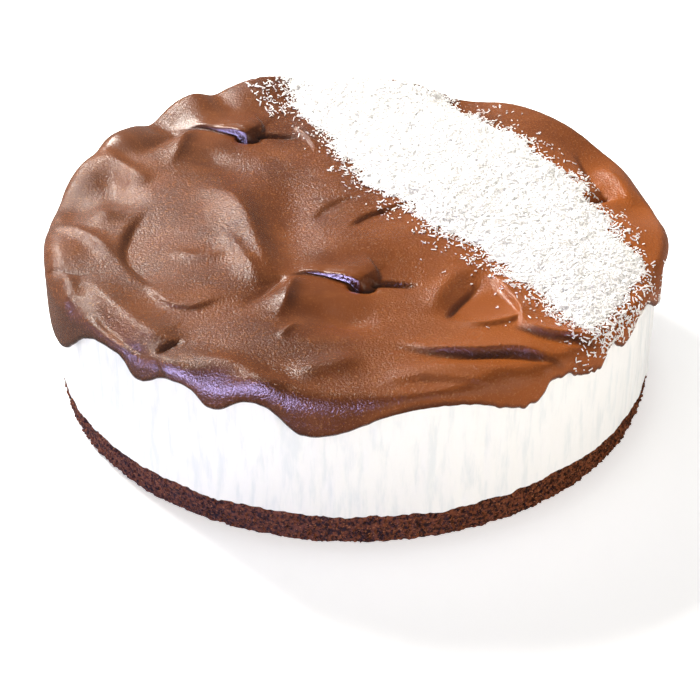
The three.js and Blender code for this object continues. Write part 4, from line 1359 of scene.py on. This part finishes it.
# %% Shreds
HIGHEST_SHRED = 71.6      # keeps them within the height of the solid cake
STEEPEST = 0.45           # largest tip of a shred, as rise over length
CLEARANCE = 0.1           # between a shred and what it lies on
TIP_LIFT = 0.35           # how far a tipped shred is raised, as a share of its rise
TAPER = 0.35              # how much narrower it is at its ends
BOW = 0.12                # how far its middle bows, as a share of its length


def shreds(name, count, seed, length, width, thickness, sections, fall_off, stray, tip):
    """Strips laid on the heap: sections across the strip, the middle one bowed upwards."""
    random, row, column = strewn(count, seed, fall_off, stray)
    count = len(row)
    rest, upright = heap_rest()
    place, up = sample_grid(rest, row, column), unit(sample_grid(upright, row, column))
    ahead = unit(np.cross(up, unit(random.normal(size=(count, 3)))))
    lift = random.normal(0, tip, (count, 1)).clip(-STEEPEST, STEEPEST)
    ahead = unit(ahead + lift * up)
    side = unit(np.cross(up, ahead))
    above = np.cross(ahead, side)
    long = random.uniform(*length, (count, 1))
    wide = random.uniform(*width, (count, 1)) / 2
    thick = random.uniform(*thickness, (count, 1)) / 2
    place = place + up * (CLEARANCE + thick + TIP_LIFT * np.abs(lift) * long)
    place[:, 2] = np.minimum(place[:, 2], HIGHEST_SHRED)
    bow = random.normal(0, BOW, (count, 1)) * long
    corners = []
    for step in np.linspace(-1, 1, sections):
        middle = place + ahead * step * long / 2 + above * bow * (1 - step * step)
        narrow = 1 - TAPER * step * step
        for a, b in ((-1, -1), (1, -1), (1, 1), (-1, 1)):
            corners.append(middle + side * a * wide * narrow + above * b * thick)
    corners = np.stack(corners, axis=1)
    first = np.arange(count)[:, None] * 4 * sections
    ends = np.array([[0, 3, 2, 1]]), np.array([[0, 1, 2, 3]])
    faces = [first + ends[0], first + 4 * (sections - 1) + ends[1]]
    for section in range(sections - 1):
        for a in range(4):
            b = (a + 1) % 4
            low = 4 * section
            faces.append(first + np.array([[low + a, low + b, low + 4 + b, low + 4 + a]]))
    piece = make_piece(name, corners.reshape(-1, 3), faces, coconut_finish(), False)
    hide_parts("coconut_drift")
    return piece


shreds("long_shreds", count=9000, seed=51, length=(1.7, 3.2), width=(0.35, 0.6),
       thickness=(0.15, 0.3), sections=3, fall_off=2.6, stray=0.5, tip=0.28)
shreds("short_shreds", count=13000, seed=52, length=(0.9, 1.8), width=(0.3, 0.55),
       thickness=(0.15, 0.3), sections=2, fall_off=3.2, stray=0.5, tip=0.3)
shreds("coconut_crumbs", count=14000, seed=53, length=(0.4, 0.9), width=(0.3, 0.6),
       thickness=(0.2, 0.4), sections=2, fall_off=4.0, stray=0.5, tip=0.3)
